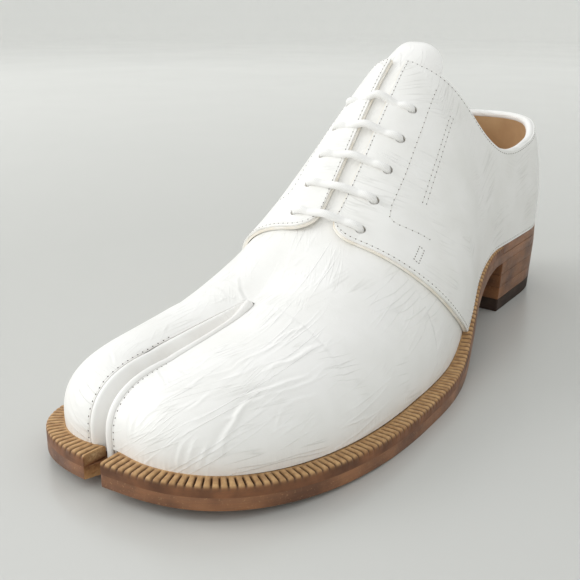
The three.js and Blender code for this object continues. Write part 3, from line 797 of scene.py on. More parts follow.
class Finish:
    """A material in the making: its tree, its principled shader and the patterns that drive it."""

    def __init__(self, name: str, **sockets: object) -> None:
        """Starts a material.

        Args:
            name: The material's name.
            sockets: Even values of the shader, by socket name with underscores for spaces.
        """
        self.material = bpy.data.materials.new(name)
        self.material.use_nodes = True
        self.tree = self.material.node_tree
        self.shader = self.tree.nodes["Principled BSDF"]
        for key, value in sockets.items():
            self.shader.inputs[key.replace("_", " ")].default_value = value
        self.place = add(self.tree, "TexCoord").outputs["Object"]
        self.relief: bpy.types.NodeSocket | None = None

    def mapped(self, scale: Sequence[float]) -> bpy.types.NodeSocket:
        """Object coordinates in cells of 1 / scale millimetres."""
        return self.scaled(self.place, tuple(1000 * s for s in scale))

    def noise(
        self, size: float, detail: float = 3, vector: bpy.types.NodeSocket | None = None
    ) -> bpy.types.NodeSocket:
        """Cloudy noise with features of a size in millimetres."""
        links = {"Vector": vector or self.mapped((1, 1, 1)), "Scale": 1 / size, "Detail": detail}
        return add(self.tree, "TexNoise", links).outputs["Fac"]

    def turned(self, vector: bpy.types.NodeSocket, degrees: float) -> bpy.types.NodeSocket:
        """Coordinates turned about z."""
        links = {"Vector": vector, "Rotation": (0, 0, math.radians(degrees))}
        return add(self.tree, "Mapping", links).outputs[0]

    def scaled(self, vector: bpy.types.NodeSocket, scale: tuple) -> bpy.types.NodeSocket:
        """Coordinates scaled along each axis."""
        return add(self.tree, "Mapping", {"Vector": vector, "Scale": scale}).outputs[0]

    def ramp(self, value: bpy.types.NodeSocket, *stops: tuple[float, str | float]) -> bpy.types.NodeSocket:
        """A value turned into colours or greys at its stops.

        Args:
            value: The value, from 0 to 1.
            stops: Places with the colour or the grey at each.

        Returns:
            The colour, or the grey.
        """
        made = add(self.tree, "ValToRGB", {"Fac": value})
        points = made.color_ramp.elements
        while len(points) < len(stops):
            points.new(0.5)
        for point, (at, colour) in zip(points, stops):
            point.position = at
            point.color = linear(colour) if isinstance(colour, str) else (colour, colour, colour, 1)
        return made.outputs["Color"]

    def cloud(self, size: float, detail: float, *stops: tuple[float, str | float]) -> bpy.types.NodeSocket:
        """Noise of a size in millimetres turned into colours or greys."""
        return self.ramp(self.noise(size, detail), *stops)

    def math(self, operation: str, *values: bpy.types.NodeSocket | float) -> bpy.types.NodeSocket:
        """A sum, product or other operation of values."""
        return add(self.tree, "Math", dict(enumerate(values)), operation=operation).outputs[0]

    def blend(
        self, share: bpy.types.NodeSocket | float, a: object, b: object, mode: str = "MIX"
    ) -> bpy.types.NodeSocket:
        """Two colours mixed by a share."""
        made = add(self.tree, "Mix", {0: share, 6: a, 7: b}, data_type="RGBA", blend_type=mode)
        return made.outputs[2]

    def emboss(self, height: bpy.types.NodeSocket, depth: float, strength: float = 1.0) -> None:
        """Adds relief of a depth in millimetres.

        Args:
            height: Height from 0 to 1.
            depth: Millimetres.
            strength: Share of it that shows.
        """
        links = {"Height": height, "Distance": depth * 0.001, "Strength": strength}
        if self.relief:
            links["Normal"] = self.relief
        self.relief = add(self.tree, "Bump", links).outputs[0]

    def grain(self, size: float, detail: float, depth: float, strength: float) -> None:
        """Adds noise of a size and depth in millimetres to the relief."""
        self.emboss(self.noise(size, detail), depth, strength)

    def done(
        self, colour: bpy.types.NodeSocket | None = None, roughness: bpy.types.NodeSocket | None = None
    ) -> bpy.types.Material:
        """Wires the patterns to the shader.

        Args:
            colour: Its base colour.
            roughness: Its roughness.

        Returns:
            The material.
        """
        for value, name in ((colour, "Base Color"), (roughness, "Roughness"), (self.relief, "Normal")):
            if value:
                self.tree.links.new(value, self.shader.inputs[name])
        return self.material


@dataclass(frozen=True)
class CrinkledCalf:
    """Crinkled calf: drum-shrunk, pigmented warm white and lightly waxed, so creases stand as fine ridges,
    with painted highlight and painted shade along the crease lines.
    """

    name: str = "crinkled_calf_white"
    face: str = "F9F8F5"
    hollow: str = "F3F2EE"
    # fold is painted shade along crease lines; ridge is painted highlight on crease ridges.
    fold: str = "D9D8D3"
    ridge: str = "FFFEFC"

    def make(self) -> bpy.types.Material:
        """Makes the material.

        Returns:
            The material.
        """
        look = Finish(self.name, Specular_IOR_Level=0.42, Coat_Weight=0.1, Coat_Roughness=0.4, IOR=1.5)
        flat = add(look.tree, "UVMap", uv_map="UVMap").outputs[0]
        lines = []
        # Creases that run back along the foot: spacing and line width in mm, how far each family turns,
        # and the size and bounds of the patches of hide that show it.
        for size, width, turn, patch, low, high in (
            (5.6, 0.032, 8, 34.0, 0.47, 0.62),
            (3.4, 0.045, -12, 22.0, 0.5, 0.64),
            (2.2, 0.07, 24, 15.0, 0.52, 0.66),
        ):
            drawn = look.noise(size, 1, look.scaled(look.turned(flat, turn), (0.09, 1, 1)))
            folded = look.math("ABSOLUTE", look.math("SUBTRACT", drawn, 0.5))
            line = look.ramp(folded, (0.0, 1.0), (width * 0.45, 0.5), (width, 0.0))
            lines.append(look.math("MULTIPLY", line, look.cloud(patch, 2, (low, 0.0), (high, 1.0))))
        look.grain(11, 3, 0.4, 0.35)
        look.grain(1.8, 4, 0.1, 0.4)
        for line, depth in zip(lines, (0.2, 0.16, 0.11)):
            look.emboss(line, depth, 0.7)
        look.grain(0.5, 3, 0.05, 0.6)
        # Lasting pleats just above the welt, about 1.3 mm apart.
        foot = add(look.tree, "Attribute", attribute_name="foot").outputs["Fac"]
        pleats = look.noise(1.3, 1, look.scaled(flat, (1, 0.12, 1)))
        look.emboss(look.math("MULTIPLY", pleats, foot), 0.8, 0.7)
        tone = look.cloud(18, 3, (0.3, self.hollow), (0.62, self.face))
        # Painted highlight on the widest crease lines, then painted shade along the next family of crease
        # lines.
        tone = look.blend(look.math("MULTIPLY", lines[0], 0.35), tone, linear(self.ridge))
        tone = look.blend(look.math("MULTIPLY", lines[1], 0.4), tone, linear(self.fold))
        return look.done(tone, look.cloud(7, 3, (0.3, 0.52), (0.7, 0.42)))


@dataclass(frozen=True)
class SmoothLeather:
    """Vegetable-tanned or coated leather with a fine even grain."""

    name: str
    light: str
    dark: str
    gloss: float = 0.5
    patch: float = 12.0
    relief: float = 0.05

    def make(self) -> bpy.types.Material:
        """Makes the material.

        Returns:
            The material.
        """
        look = Finish(self.name, Specular_IOR_Level=0.4, IOR=1.5)
        tone = look.cloud(self.patch, 5, (0.35, self.dark), (0.62, self.light))
        look.grain(4, 3, 4 * self.relief, 0.4)
        look.grain(0.5, 3, self.relief, 0.6)
        return look.done(tone, look.cloud(6, 3, (0.3, min(self.gloss + 0.1, 1)), (0.7, self.gloss)))


@dataclass(frozen=True)
class BurnishedEdge:
    """Sole leather whose edge is dyed brown, rubbed with wax and burnished, so it mottles and streaks."""

    name: str = "burnished_sole_leather"
    light: str = "A17552"
    dark: str = "6E4D37"
    gloss: float = 0.42

    def make(self) -> bpy.types.Material:
        """Makes the material.

        Returns:
            The material.
        """
        look = Finish(self.name, Specular_IOR_Level=0.45, Coat_Weight=0.1, Coat_Roughness=0.3, IOR=1.5)
        broad = look.cloud(16, 4, (0.36, self.dark), (0.64, self.light))
        # Fibres lie flat in the hide, so the edge streaks along its length, about 0.4 mm apart.
        streak = look.noise(0.9, 4, look.mapped((0.12, 0.12, 1.6)))
        streaks = look.ramp(streak, (0.35, "7A573C"), (0.62, "A98463"))
        tone = look.blend(0.35, broad, streaks, "OVERLAY")
        specks = look.cloud(0.7, 4, (0.6, 0.0), (0.72, 1.0))
        tone = look.blend(look.math("MULTIPLY", specks, 0.4), tone, linear("C29A6C"))
        look.emboss(streak, 0.12, 0.5)
        look.grain(0.5, 3, 0.06, 0.5)
        return look.done(tone, look.cloud(3, 3, (0.3, self.gloss + 0.14), (0.7, self.gloss)))


@dataclass(frozen=True)
class WheeledWelt:
    """Welt leather, tan on its wheeled teeth, with painted shade in the grooves and dark wax on the dyed
    edge.
    """

    name: str = "wheeled_welt_leather"
    tooth: str = "A87F52"
    tooth_light: str = "C8A06E"
    # groove is painted shade for the bottoms of the wheeled grooves.
    groove: str = "4C3222"

    def make(self) -> bpy.types.Material:
        """Makes the material.

        Returns:
            The material.
        """
        look = Finish(self.name, Specular_IOR_Level=0.4, Coat_Weight=0.06, Coat_Roughness=0.35, IOR=1.5)
        parts = add(look.tree, "Attribute", attribute_name="tone")
        split = add(look.tree, "SeparateColor", {"Color": parts.outputs["Color"]})
        top = look.cloud(2.5, 4, (0.35, self.tooth), (0.65, self.tooth_light))
        side = look.cloud(9, 4, (0.36, "67452D"), (0.64, "8E6241"))
        streak = look.noise(0.9, 4, look.mapped((0.12, 0.12, 1.6)))
        side = look.blend(0.3, side, look.ramp(streak, (0.35, "7A573C"), (0.62, "A98463")), "OVERLAY")
        tone = look.blend(split.outputs["Green"], top, side)
        # Painted shade: the grooves, marked red, are painted dark.
        tone = look.blend(split.outputs["Red"], tone, linear(self.groove))
        cut = look.cloud(0.8, 4, (0.35, "8F6D4C"), (0.65, "C9AB84"))
        tone = look.blend(split.outputs["Blue"], tone, cut)
        look.emboss(streak, 0.1, 0.5)
        look.grain(0.5, 3, 0.06, 0.6)
        return look.done(tone, look.cloud(3, 3, (0.3, 0.6), (0.7, 0.46)))


@dataclass(frozen=True)
class RawFibre:
    """The cut face of sole leather: dry fibre, browner towards the top and pale below."""

    name: str = "cut_leather_fibre"

    def make(self) -> bpy.types.Material:
        """Makes the material.

        Returns:
            The material.
        """
        look = Finish(self.name, Specular_IOR_Level=0.2, IOR=1.5)
        height = add(look.tree, "SeparateXYZ", {"Vector": look.place}).outputs["Z"]
        # Height above the floor in shares of 12 mm, broken up by the fibre.
        level = look.math("MULTIPLY", height, 1000 / 12)
        ragged = look.math("ADD", level, look.math("MULTIPLY", look.noise(1.2, 4), 0.35))
        tone = look.ramp(ragged, (0.3, "C7A77E"), (0.62, "A5805A"), (0.85, "6F4E35"), (1.0, "7C5A3E"))
        fibre = look.noise(0.8, 5, look.mapped((0.3, 0.3, 1.4)))
        tone = look.blend(look.math("MULTIPLY", fibre, 0.5), tone, linear("D8C3A2"), "OVERLAY")
        look.emboss(fibre, 0.4, 0.8)
        return look.done(tone, look.ramp(fibre, (0.3, 0.9), (0.7, 0.75)))


@dataclass(frozen=True)
class HeelRubber:
    """Moulded rubber top piece, matt with a fine grit."""

    name: str = "heel_rubber_dark"

    def make(self) -> bpy.types.Material:
        """Makes the material.

        Returns:
            The material.
        """
        look = Finish(self.name, Specular_IOR_Level=0.35, IOR=1.52)
        tone = look.cloud(10, 4, (0.35, "2E221B"), (0.65, "3D2D23"))
        look.grain(0.6, 3, 0.06, 0.7)
        return look.done(tone, look.cloud(5, 3, (0.3, 0.82), (0.7, 0.68)))


@dataclass(frozen=True)
class WaxedCord:
    """Waxed cotton cord, braided in a fine herringbone about 0.8 mm long."""

    name: str = "waxed_cotton_cord"
    light: str = "F9F8F6"
    dark: str = "F1F0EC"

    def make(self) -> bpy.types.Material:
        """Makes the material.

        Returns:
            The material.
        """
        look = Finish(self.name, Specular_IOR_Level=0.3, IOR=1.5, Sheen_Weight=0.15)
        flat = add(look.tree, "UVMap", uv_map="UVMap").outputs[0]
        weave = []
        for turn in (38, -38):
            links = {"Vector": look.turned(flat, turn), "Scale": 0.6, "Distortion": 0.3}
            wave = add(look.tree, "TexWave", links)
            weave.append(wave.outputs["Fac"])
        braid = look.math("MAXIMUM", *weave)
        look.emboss(braid, 0.05, 0.5)
        look.grain(0.3, 3, 0.04, 0.6)
        # Painted shade: the braid's low parts are coloured darker than its raised strands.
        tone = look.ramp(braid, (0.2, self.dark), (0.75, self.light))
        return look.done(tone, look.ramp(braid, (0.2, 0.85), (0.8, 0.6)))


@dataclass(frozen=True)
class PlainThread:
    """Bonded polyester thread, or the painted shade of a needle hole, too small for a pattern of its own."""

    name: str
    light: str
    dark: str
    gloss: float = 0.6

    def make(self) -> bpy.types.Material:
        """Makes the material.

        Returns:
            The material.
        """
        look = Finish(self.name, Specular_IOR_Level=0.3, IOR=1.5)
        look.grain(0.25, 2, 0.03, 0.6)
        tone = look.cloud(0.8, 3, (0.35, self.dark), (0.65, self.light))
        return look.done(tone, look.cloud(1, 2, (0.3, self.gloss), (0.7, self.gloss + 0.15)))


@dataclass(frozen=True)
class StudioPaper:
    """Pale grey coated studio board, smooth enough for a faint reflection, painted darker round the shoe as
    painted shade.
    """

    name: str = "studio_board_pale_painted_shade_near"
    # near is painted shade on the board round the shoe; far is the board's plain tone.
    near: str = "CBCBC7"
    far: str = "F4F4F0"
    reach: float = 1.9

    def make(self) -> bpy.types.Material:
        """Makes the material.

        Returns:
            The material.
        """
        look = Finish(self.name, Specular_IOR_Level=0.4, IOR=1.6)
        apart = add(look.tree, "VectorMath", {"Vector": look.place}, operation="LENGTH").outputs["Value"]
        far = look.math("MINIMUM", look.math("DIVIDE", apart, self.reach), 1.0)
        # Painted shade: the board darkens towards the shoe.
        tone = look.ramp(far, (0.12, self.near), (0.75, self.far))
        return look.done(tone, look.cloud(200, 2, (0.3, 0.27), (0.7, 0.23)))


@dataclass
class Wardrobe:
    """All the shoe's materials, made once."""

    calf: bpy.types.Material
    gusset: bpy.types.Material
    lining: bpy.types.Material
    cream: bpy.types.Material
    sole: bpy.types.Material
    welt: bpy.types.Material
    fibre: bpy.types.Material
    lift: bpy.types.Material
    rubber: bpy.types.Material
    cord: bpy.types.Material
    thread: bpy.types.Material
    hole: bpy.types.Material

    @classmethod
    def make(cls) -> "Wardrobe":
        """Makes the materials.

        Returns:
            The materials.
        """
        return cls(
            calf=CrinkledCalf().make(),
            gusset=SmoothLeather("smooth_calf_white", "F8F7F4", "F2F0EC", 0.42, 16, 0.03).make(),
            lining=SmoothLeather("lining_calf_tan", "CDAA80", "BD9870", 0.6, 18).make(),
            cream=SmoothLeather("lining_edge_cream", "FBF7EF", "F6EEDF", 0.6, 6).make(),
            sole=BurnishedEdge().make(),
            welt=WheeledWelt().make(),
            fibre=RawFibre().make(),
            lift=BurnishedEdge("stacked_heel_leather", "9A6E49", "6A4830", 0.45).make(),
            rubber=HeelRubber().make(),
            cord=WaxedCord().make(),
            thread=PlainThread("bonded_thread_white", "F1F0EC", "E2E0DA").make(),
            # The needle holes are flat dark discs: painted shade where the holes are.
            hole=PlainThread("needle_hole_painted_shade", "6A625B", "4C453F", 0.8).make(),
        )


# Stitching


@dataclass
class Stitching:
    """Rows of stitches laid on the shoe: a thread between each two needle holes, each hole a dark disc of
    painted shade.
    """

    thread: float = 0.24
    hole: float = 0.3
    sunk: float = 0.1
    threads: list = field(default_factory=list)
    holes: list = field(default_factory=list)

    def row(self, path: np.ndarray, normals: np.ndarray, pitch: float) -> None:
        """Adds a row.

        Args:
            path: Points on the surface in millimetres.
            normals: Outward normals at them.
            pitch: Distance from hole to hole.
        """
        run = lengths(path)
        count = max(int(round(run[-1] / pitch)), 1)
        at = np.linspace(0, run[-1], count + 1)
        p, n = walk(path, at, run), unit(walk(normals, at, run))
        for i in range(count + 1):
            ahead = p[min(i + 1, count)] - p[max(i - 1, 0)]
            self.holes.append((p[i] + n[i] * 0.02, n[i], unit(ahead)))
        for i in range(count):
            along = p[i + 1] - p[i]
            size = np.linalg.norm(along)
            normal = unit(n[i] + n[i + 1])
            self.threads.append(((p[i] + p[i + 1]) / 2 - normal * self.sunk, normal, along / size, size))

    def copies(self, name: str, model: np.ndarray, faces: list, frames: list) -> bpy.types.Object:
        """One mesh of many copies of a model.

        Args:
            name: Name of the piece.
            model: The model's vertices.
            faces: Its faces.
            frames: For each copy its centre and the images of the model's axes.

        Returns:
            The object.
        """
        corners, polygons = [], []
        for centre, axes in frames:
            base = len(corners) * len(model)
            corners.append(model @ axes + centre)
            polygons.extend([[base + k for k in face] for face in faces])
        mesh = bpy.data.meshes.new(name)
        mesh.from_pydata(to_frame(np.concatenate(corners)).tolist(), [], polygons)
        piece = bpy.data.objects.new(name, mesh)
        bpy.context.collection.objects.link(piece)
        return piece

    def build(self, wardrobe: Wardrobe) -> None:
        """Models one thread and one needle hole, a flat dark disc of painted shade, and lays a copy of each
        at every place.

        Args:
            wardrobe: The materials.
        """
        clear_selection()
        bpy.ops.mesh.primitive_uv_sphere_add(segments=6, ring_count=6, radius=1)
        bead = bpy.context.object
        ball = coordinates(bead)
        faces = [list(f.vertices) for f in bead.data.polygons]
        bpy.data.objects.remove(bead)
        # A thread is a ball drawn out along its stitch, with full ends.
        drawn = ball.copy()
        drawn[:, 2] = np.sign(ball[:, 2]) * np.abs(ball[:, 2]) ** 0.6
        frames = []
        for centre, normal, along, size in self.threads:
            side = np.cross(normal, along)
            frames.append((centre, np.stack([side * self.thread, normal * self.thread, along * size * 0.46])))
        dress(self.copies("stitch_threads", drawn, faces, frames), wardrobe.thread)
        frames = []
        # Each needle hole is a flat dark disc on the surface, painted shade of the hole.
        for centre, normal, along in self.holes:
            side = np.cross(normal, along)
            frames.append((centre, np.stack([side * self.hole * 0.8, along * self.hole, normal * 0.08])))
        dress(self.copies("needle_hole_shade_discs", ball, faces, frames), wardrobe.hole)


# The upper


@dataclass(frozen=True)
class Crease:
    """A soft ridge, or a trough where its height is negative, through stations and turns of one side."""

    side: Side
    points: list
    height: float
    width: float


def creases() -> list[Crease]:
    """The main creases that lasting and crumpling leave on the vamp, each from its front end back.

    Returns:
        The creases.
    """
    out, inner = Side.LATERAL, Side.MEDIAL
    # Side, height, width, then the stations and turns of its points.
    rows = (
        (out, 0.34, 0.8, (0.122, 0.44), (0.142, 0.52), (0.179, 0.58), (0.216, 0.63), (0.252, 0.68),
            (0.309, 0.68), (0.351, 0.69)),
        (out, 0.36, 0.8, (0.351, 0.69), (0.383, 0.72), (0.442, 0.72), (0.505, 0.72), (0.542, 0.70)),
        (out, 0.4, 0.8, (0.511, 0.74), (0.569, 0.74), (0.619, 0.72), (0.651, 0.71)),
        (out, 0.28, 0.7, (0.215, 0.76), (0.253, 0.80), (0.279, 0.83), (0.328, 0.85), (0.382, 0.85),
            (0.476, 0.85)),
        (out, 0.34, 0.8, (0.465, 0.85), (0.542, 0.85), (0.602, 0.85), (0.632, 0.84)),
        (out, 0.24, 0.7, (0.491, 0.87), (0.546, 0.89), (0.605, 0.88), (0.647, 0.86), (0.694, 0.84)),
        (out, 0.26, 0.7, (0.206, 0.43), (0.229, 0.47), (0.250, 0.52), (0.275, 0.56), (0.310, 0.58)),
        (out, 0.62, 1.1, (0.262, 0.04), (0.272, 0.13), (0.286, 0.21), (0.300, 0.27), (0.319, 0.34),
            (0.332, 0.39), (0.352, 0.43), (0.386, 0.44)),
        (out, 0.3, 0.7, (0.292, 0.34), (0.308, 0.36), (0.325, 0.38)),
        (out, 0.36, 0.9, (0.276, 0.04), (0.285, 0.15), (0.296, 0.22)),
        (out, 0.5, 0.9, (0.339, 0.48), (0.385, 0.48), (0.431, 0.48), (0.478, 0.48), (0.542, 0.46)),
        (out, 0.36, 0.8, (0.396, 0.45), (0.448, 0.44), (0.502, 0.43), (0.562, 0.43)),
        (out, 0.5, 1, (0.426, 0.59), (0.468, 0.61), (0.508, 0.59), (0.554, 0.59), (0.589, 0.59),
            (0.631, 0.58)),
        (out, 0.26, 0.8, (0.535, 0.63), (0.568, 0.61), (0.605, 0.60)),
        (out, 0.28, 0.7, (0.721, 0.98), (0.758, 0.95), (0.787, 0.90)),
        (out, 0.3, 0.7, (0.747, 0.99), (0.777, 0.96), (0.824, 0.93), (0.863, 0.90)),
        (out, 0.24, 0.7, (0.714, 0.96), (0.753, 0.91), (0.793, 0.88), (0.843, 0.80)),
        (out, 0.3, 0.7, (0.821, 0.99), (0.848, 0.97), (0.884, 0.94), (0.918, 0.93)),
        (out, 0.26, 0.7, (0.811, 0.89), (0.857, 0.87), (0.898, 0.83)),
        (out, 0.22, 0.7, (0.724, 0.88), (0.755, 0.84), (0.801, 0.79)),
        (out, 0.24, 0.7, (0.863, 0.97), (0.906, 0.94), (0.936, 0.91)),
        (out, 0.2, 0.6, (0.577, 0.90), (0.632, 0.88), (0.702, 0.85)),
        (out, 0.3, 0.6, (0.024, 0.88), (0.102, 0.73), (0.129, 0.64)),
        (out, 0.26, 0.6, (0.153, 0.80), (0.189, 0.73)),
        (out, 0.2, 0.6, (0.112, 0.76), (0.150, 0.65)),
        (out, 0.34, 0.7, (0.185, 0.02), (0.192, 0.11), (0.203, 0.20)),
        (out, 0.36, 0.8, (0.207, 0.02), (0.217, 0.13), (0.229, 0.22)),
        (out, 0.34, 0.8, (0.233, 0.02), (0.242, 0.10), (0.253, 0.18)),
        (out, 0.26, 0.7, (0.249, 0.02), (0.256, 0.08), (0.265, 0.14)),
        (out, 0.26, 0.7, (0.052, 0.43), (0.043, 0.33), (0.046, 0.20), (0.056, 0.07)),
        (out, 0.24, 0.7, (0.089, 0.46), (0.069, 0.32), (0.064, 0.18), (0.077, 0.06)),
        (out, 0.18, 0.6, (0.146, 0.48), (0.104, 0.37), (0.086, 0.25)),
        (out, 0.26, 0.7, (0.436, 0.35), (0.471, 0.36), (0.506, 0.35), (0.536, 0.34)),
        (out, 0.2, 0.6, (0.402, 0.20), (0.418, 0.28), (0.436, 0.35)),
        (out, 0.2, 0.6, (0.252, 0.52), (0.286, 0.55), (0.325, 0.55), (0.353, 0.55)),
        (out, 0.2, 0.6, (0.303, 0.79), (0.359, 0.78), (0.426, 0.77), (0.491, 0.76)),
        (out, 0.2, 0.6, (0.283, 0.62), (0.328, 0.63), (0.369, 0.64)),
        (inner, -0.22, 0.6, (0.162, 0.72), (0.110, 0.74), (0.060, 0.74)),
        (inner, 0.16, 0.6, (0.356, 0.90), (0.276, 0.94)),
        (inner, 0.34, 0.8, (0.773, 0.84), (0.698, 0.91), (0.619, 1.00)),
        (inner, 0.24, 0.7, (0.730, 0.70), (0.664, 0.85), (0.581, 0.97)),
        (inner, 0.24, 0.7, (0.763, 0.71), (0.737, 0.82), (0.684, 0.92), (0.625, 0.99)),
        (inner, 0.18, 0.6, (0.395, 0.76), (0.448, 0.80), (0.488, 0.85)),
        (inner, 0.2, 0.6, (0.549, 0.92), (0.604, 0.93), (0.665, 0.92)),
    )
    return [Crease(side, points, height, width) for side, height, width, *points in rows]


@dataclass
class Vamp:
    """The front of the upper, lasted over the toes and folded down between them."""

    columns: tuple = (160, 56, 116)
    rows: int = 144
    end: float = 186.0
    thickness: float = 1.2
    throat_start: float = 116.0
    throat_half: float = 18.0
    throat_rounding: float = 8.0
    pleats: float = 6.0
    crease_rise: float = 0.85
    crease_width: float = 0.8
    ease: int = 8
    foot_drop: float = 3.2
    seam_points: int = 260
    row_inset: float = 0.5
    row_pitch: float = 2.3
    row_ends: dict = field(default_factory=lambda: {Side.MEDIAL: 46.0, Side.LATERAL: 34.0})

    def __post_init__(self) -> None:
        """Reads the tables of the cleft's lateral bead, its medial roll and its depth."""
        self.bead = Table(
            (0, 10, 36, 50, 62, 68, 73, 76),
            width=(2.3, 2.5, 2.4, 2.1, 2.2, 2.8, 3.9, 4.2),
            height=(0.7, 0.9, 0.9, 0.9, 1.1, 1.5, 2.4, 2.6),
        )
        self.roll = Table((0, 12, 40, 60, 70, 74), height=(0.35, 0.55, 0.6, 0.5, 0.3, 0.1))
        depth = (5.2, 6.2, 6.4, 5.6, 4.4, 3.0, 1.9, 1.0, 0)
        self.valley = Table((0, 8, 20, 36, 50, 60, 67, 72, 76), depth=depth)

    def stations(self) -> np.ndarray:
        """Stations of the columns, with one at the cleft's end and two at the throat's start.

        Returns:
            The stations.
        """
        closed = LAST.fan_station(LAST.seams.keys[-1] + 0.01)
        throat, last = float(LAST.station(self.throat_start)), float(LAST.station(self.end))
        first, second, third = self.columns
        return np.concatenate(
            [
                np.linspace(0, closed, first),
                np.linspace(closed, 1, second)[1:],
                np.linspace(1, throat - 1e-4, 14)[1:],
                np.linspace(throat + 1e-4, last, third - 14),
            ]
        )

    def turn_end(self, side: Side, v: np.ndarray) -> np.ndarray:
        """The turn at which the vamp ends at each station: the crest, or the throat's edge behind it.

        Args:
            side: The side.
            v: Stations.

        Returns:
            Turns.
        """
        s = LAST.spine(side, v)[:, 1]
        back = np.clip((s - self.throat_start) / self.throat_rounding, 0, 1)
        half = self.throat_half - self.throat_rounding * (1 - np.sqrt(1 - (1 - back) ** 2))
        edge = LAST.turn_across(side, s, side.value * half + throat_x(s))
        return np.where(s <= self.throat_start, 1.0, np.minimum(edge, 1.0))

    def relief(self, points: np.ndarray, normals: np.ndarray) -> np.ndarray:
        """Height of the creases over points of the face.

        Args:
            points: Points in millimetres.
            normals: Outward normals at them.

        Returns:
            Heights in millimetres.
        """
        height = np.zeros(points.shape[:-1])
        for path, rise, width in self.lines:
            near = np.linalg.norm(points - path.mean(0), axis=-1) < np.ptp(path, axis=0).max() + 8
            spots = points[near]
            if not len(spots):
                continue
            gap = np.linalg.norm(spots[:, None] - path[None], axis=-1)
            nearest = gap.argmin(1)
            along = np.gradient(path, axis=0)[nearest]
            across = np.cross(normals[near], along)
            sign = np.sign(((spots - path[nearest]) * across).sum(-1))
            d = gap.min(1) / (self.crease_width * width)
            taper = np.sin(np.pi * np.clip((nearest + 0.5) / len(path), 0.02, 0.98)) ** 0.6
            swell = np.exp(-d * d) - 0.45 * np.exp(-((sign * d - 1.7) ** 2) / 1.4)
            height[near] += self.crease_rise * rise * taper * swell
        return height

    def trace(self, crease: Crease) -> tuple[np.ndarray, float, float]:
        """A crease's points on the face.

        Args:
            crease: The crease.

        Returns:
            Its path, height and width.
        """
        keys, at = np.linspace(0, 1, len(crease.points)), np.linspace(0, 1, 44)
        line = Table(keys, v=[p[0] for p in crease.points], turn=[p[1] for p in crease.points])
        return LAST.face(crease.side, line.read("v", at), line.read("turn", at)), crease.height, crease.width

    def half(self, side: Side) -> tuple[np.ndarray, np.ndarray]:
        """One half of the vamp.

        Args:
            side: The side.

        Returns:
            Rows by columns of its points, and the normals at them.
        """
        v = self.stations()
        end = self.turn_end(side, v)
        share = np.linspace(0, 1, 200)
        dense = LAST.face(side, v[:, None], end[:, None] * share)
        turns = np.stack([np.interp(even(line, self.rows), share, share) for line in dense]) * end[:, None]
        points = LAST.face(side, v[:, None], turns)
        normals = LAST.normal(side, v[:, None], turns)
        points = points + normals * self.relief(points, normals)[..., None]
        return points.transpose(1, 0, 2), normals.transpose(1, 0, 2)

    def build(self, wardrobe: Wardrobe, stitching: Stitching) -> None:
        """Builds the vamp, the gusset between the toes and their stitches.

        Its UV map holds lengths along the foot and signed lengths from the cleft's line.

        Args:
            wardrobe: The materials.
            stitching: Takes the stitches.
        """
        self.lines = [self.trace(crease) for crease in creases()]
        grids = {side: self.half(side) for side in Side}
        along = lengths(grids[Side.LATERAL][0][self.rows // 2])
        halves = []
        for side, (points, _) in grids.items():
            half = sheet("vamp_half", points, flip=side is Side.MEDIAL)
            ridge = points[-1]
            across = lengths(points[::-1])[::-1] * side.value + ridge[:, 0] - LAST.cleft(ridge[:, 1])
            lay_flat(half, along, across)
            low = np.clip(1 - (points[..., 2] - points[:1, :, 2]) / self.pleats, 0, 1)
            give(half, "foot", "FLOAT", "value", low)
            halves.append(half)
        vamp = join("vamp", halves, weld=0.004)
        modify(vamp, "SOLIDIFY", thickness=self.thickness * 0.001, offset=-1, use_rim=True, use_rim_only=True)
        dress(vamp, wardrobe.calf, ["upper"], 60)
        self.build_gusset(grids, wardrobe, stitching)

    def build_gusset(self, grids: dict, wardrobe: Wardrobe, stitching: Stitching) -> None:
        """Builds the folded strip between the cleft's seams, with the rolled bead on its lateral side.

        Args:
            grids: Points and normals of the two halves.
            wardrobe: The materials.
            stitching: Takes the seams' stitches.
        """
        seams, normals = {}, {}
        for side, (points, normal) in grids.items():
            closed = self.columns[0]
            line = np.concatenate([points[:, 0], points[-1, 1:closed]])
            facing = np.concatenate([normal[:, 0], normal[-1, 1:closed]])
            line = np.concatenate([line[:1] - (0, 0, self.foot_drop), line])
            facing = np.concatenate([facing[:1], facing])
            run = lengths(line)
            at = np.linspace(0, run[-1], self.seam_points)
            seams[side] = eased(walk(line, at, run), self.ease)
            normals[side] = eased(walk(facing, at, run), 24 * self.ease)
        medial, lateral = seams[Side.MEDIAL], seams[Side.LATERAL]
        s = (medial[:, 1] + lateral[:, 1]) / 2
        gap = lateral - medial
        width = np.maximum(np.linalg.norm(gap, axis=1), 1e-6)
        across = gap / width[:, None]
        across[-8:] = across[-9]
        up = normals[Side.MEDIAL] + normals[Side.LATERAL]
        up = unit(up - across * (up * across).sum(1)[:, None])
        closing = np.sqrt(np.clip((LAST.seams.keys[-1] - s) / 1.6, 0, 1))
        bead = np.minimum(self.bead.read("width", s), 0.86 * width)
        rise = self.bead.read("height", s) * closing
        depth = np.minimum(self.valley.read("depth", s), 1.2 * width) * closing
        roll = self.roll.read("height", s) * closing
        valley = np.maximum(width - 0.2 - bead * 0.9, 0.05 * width)
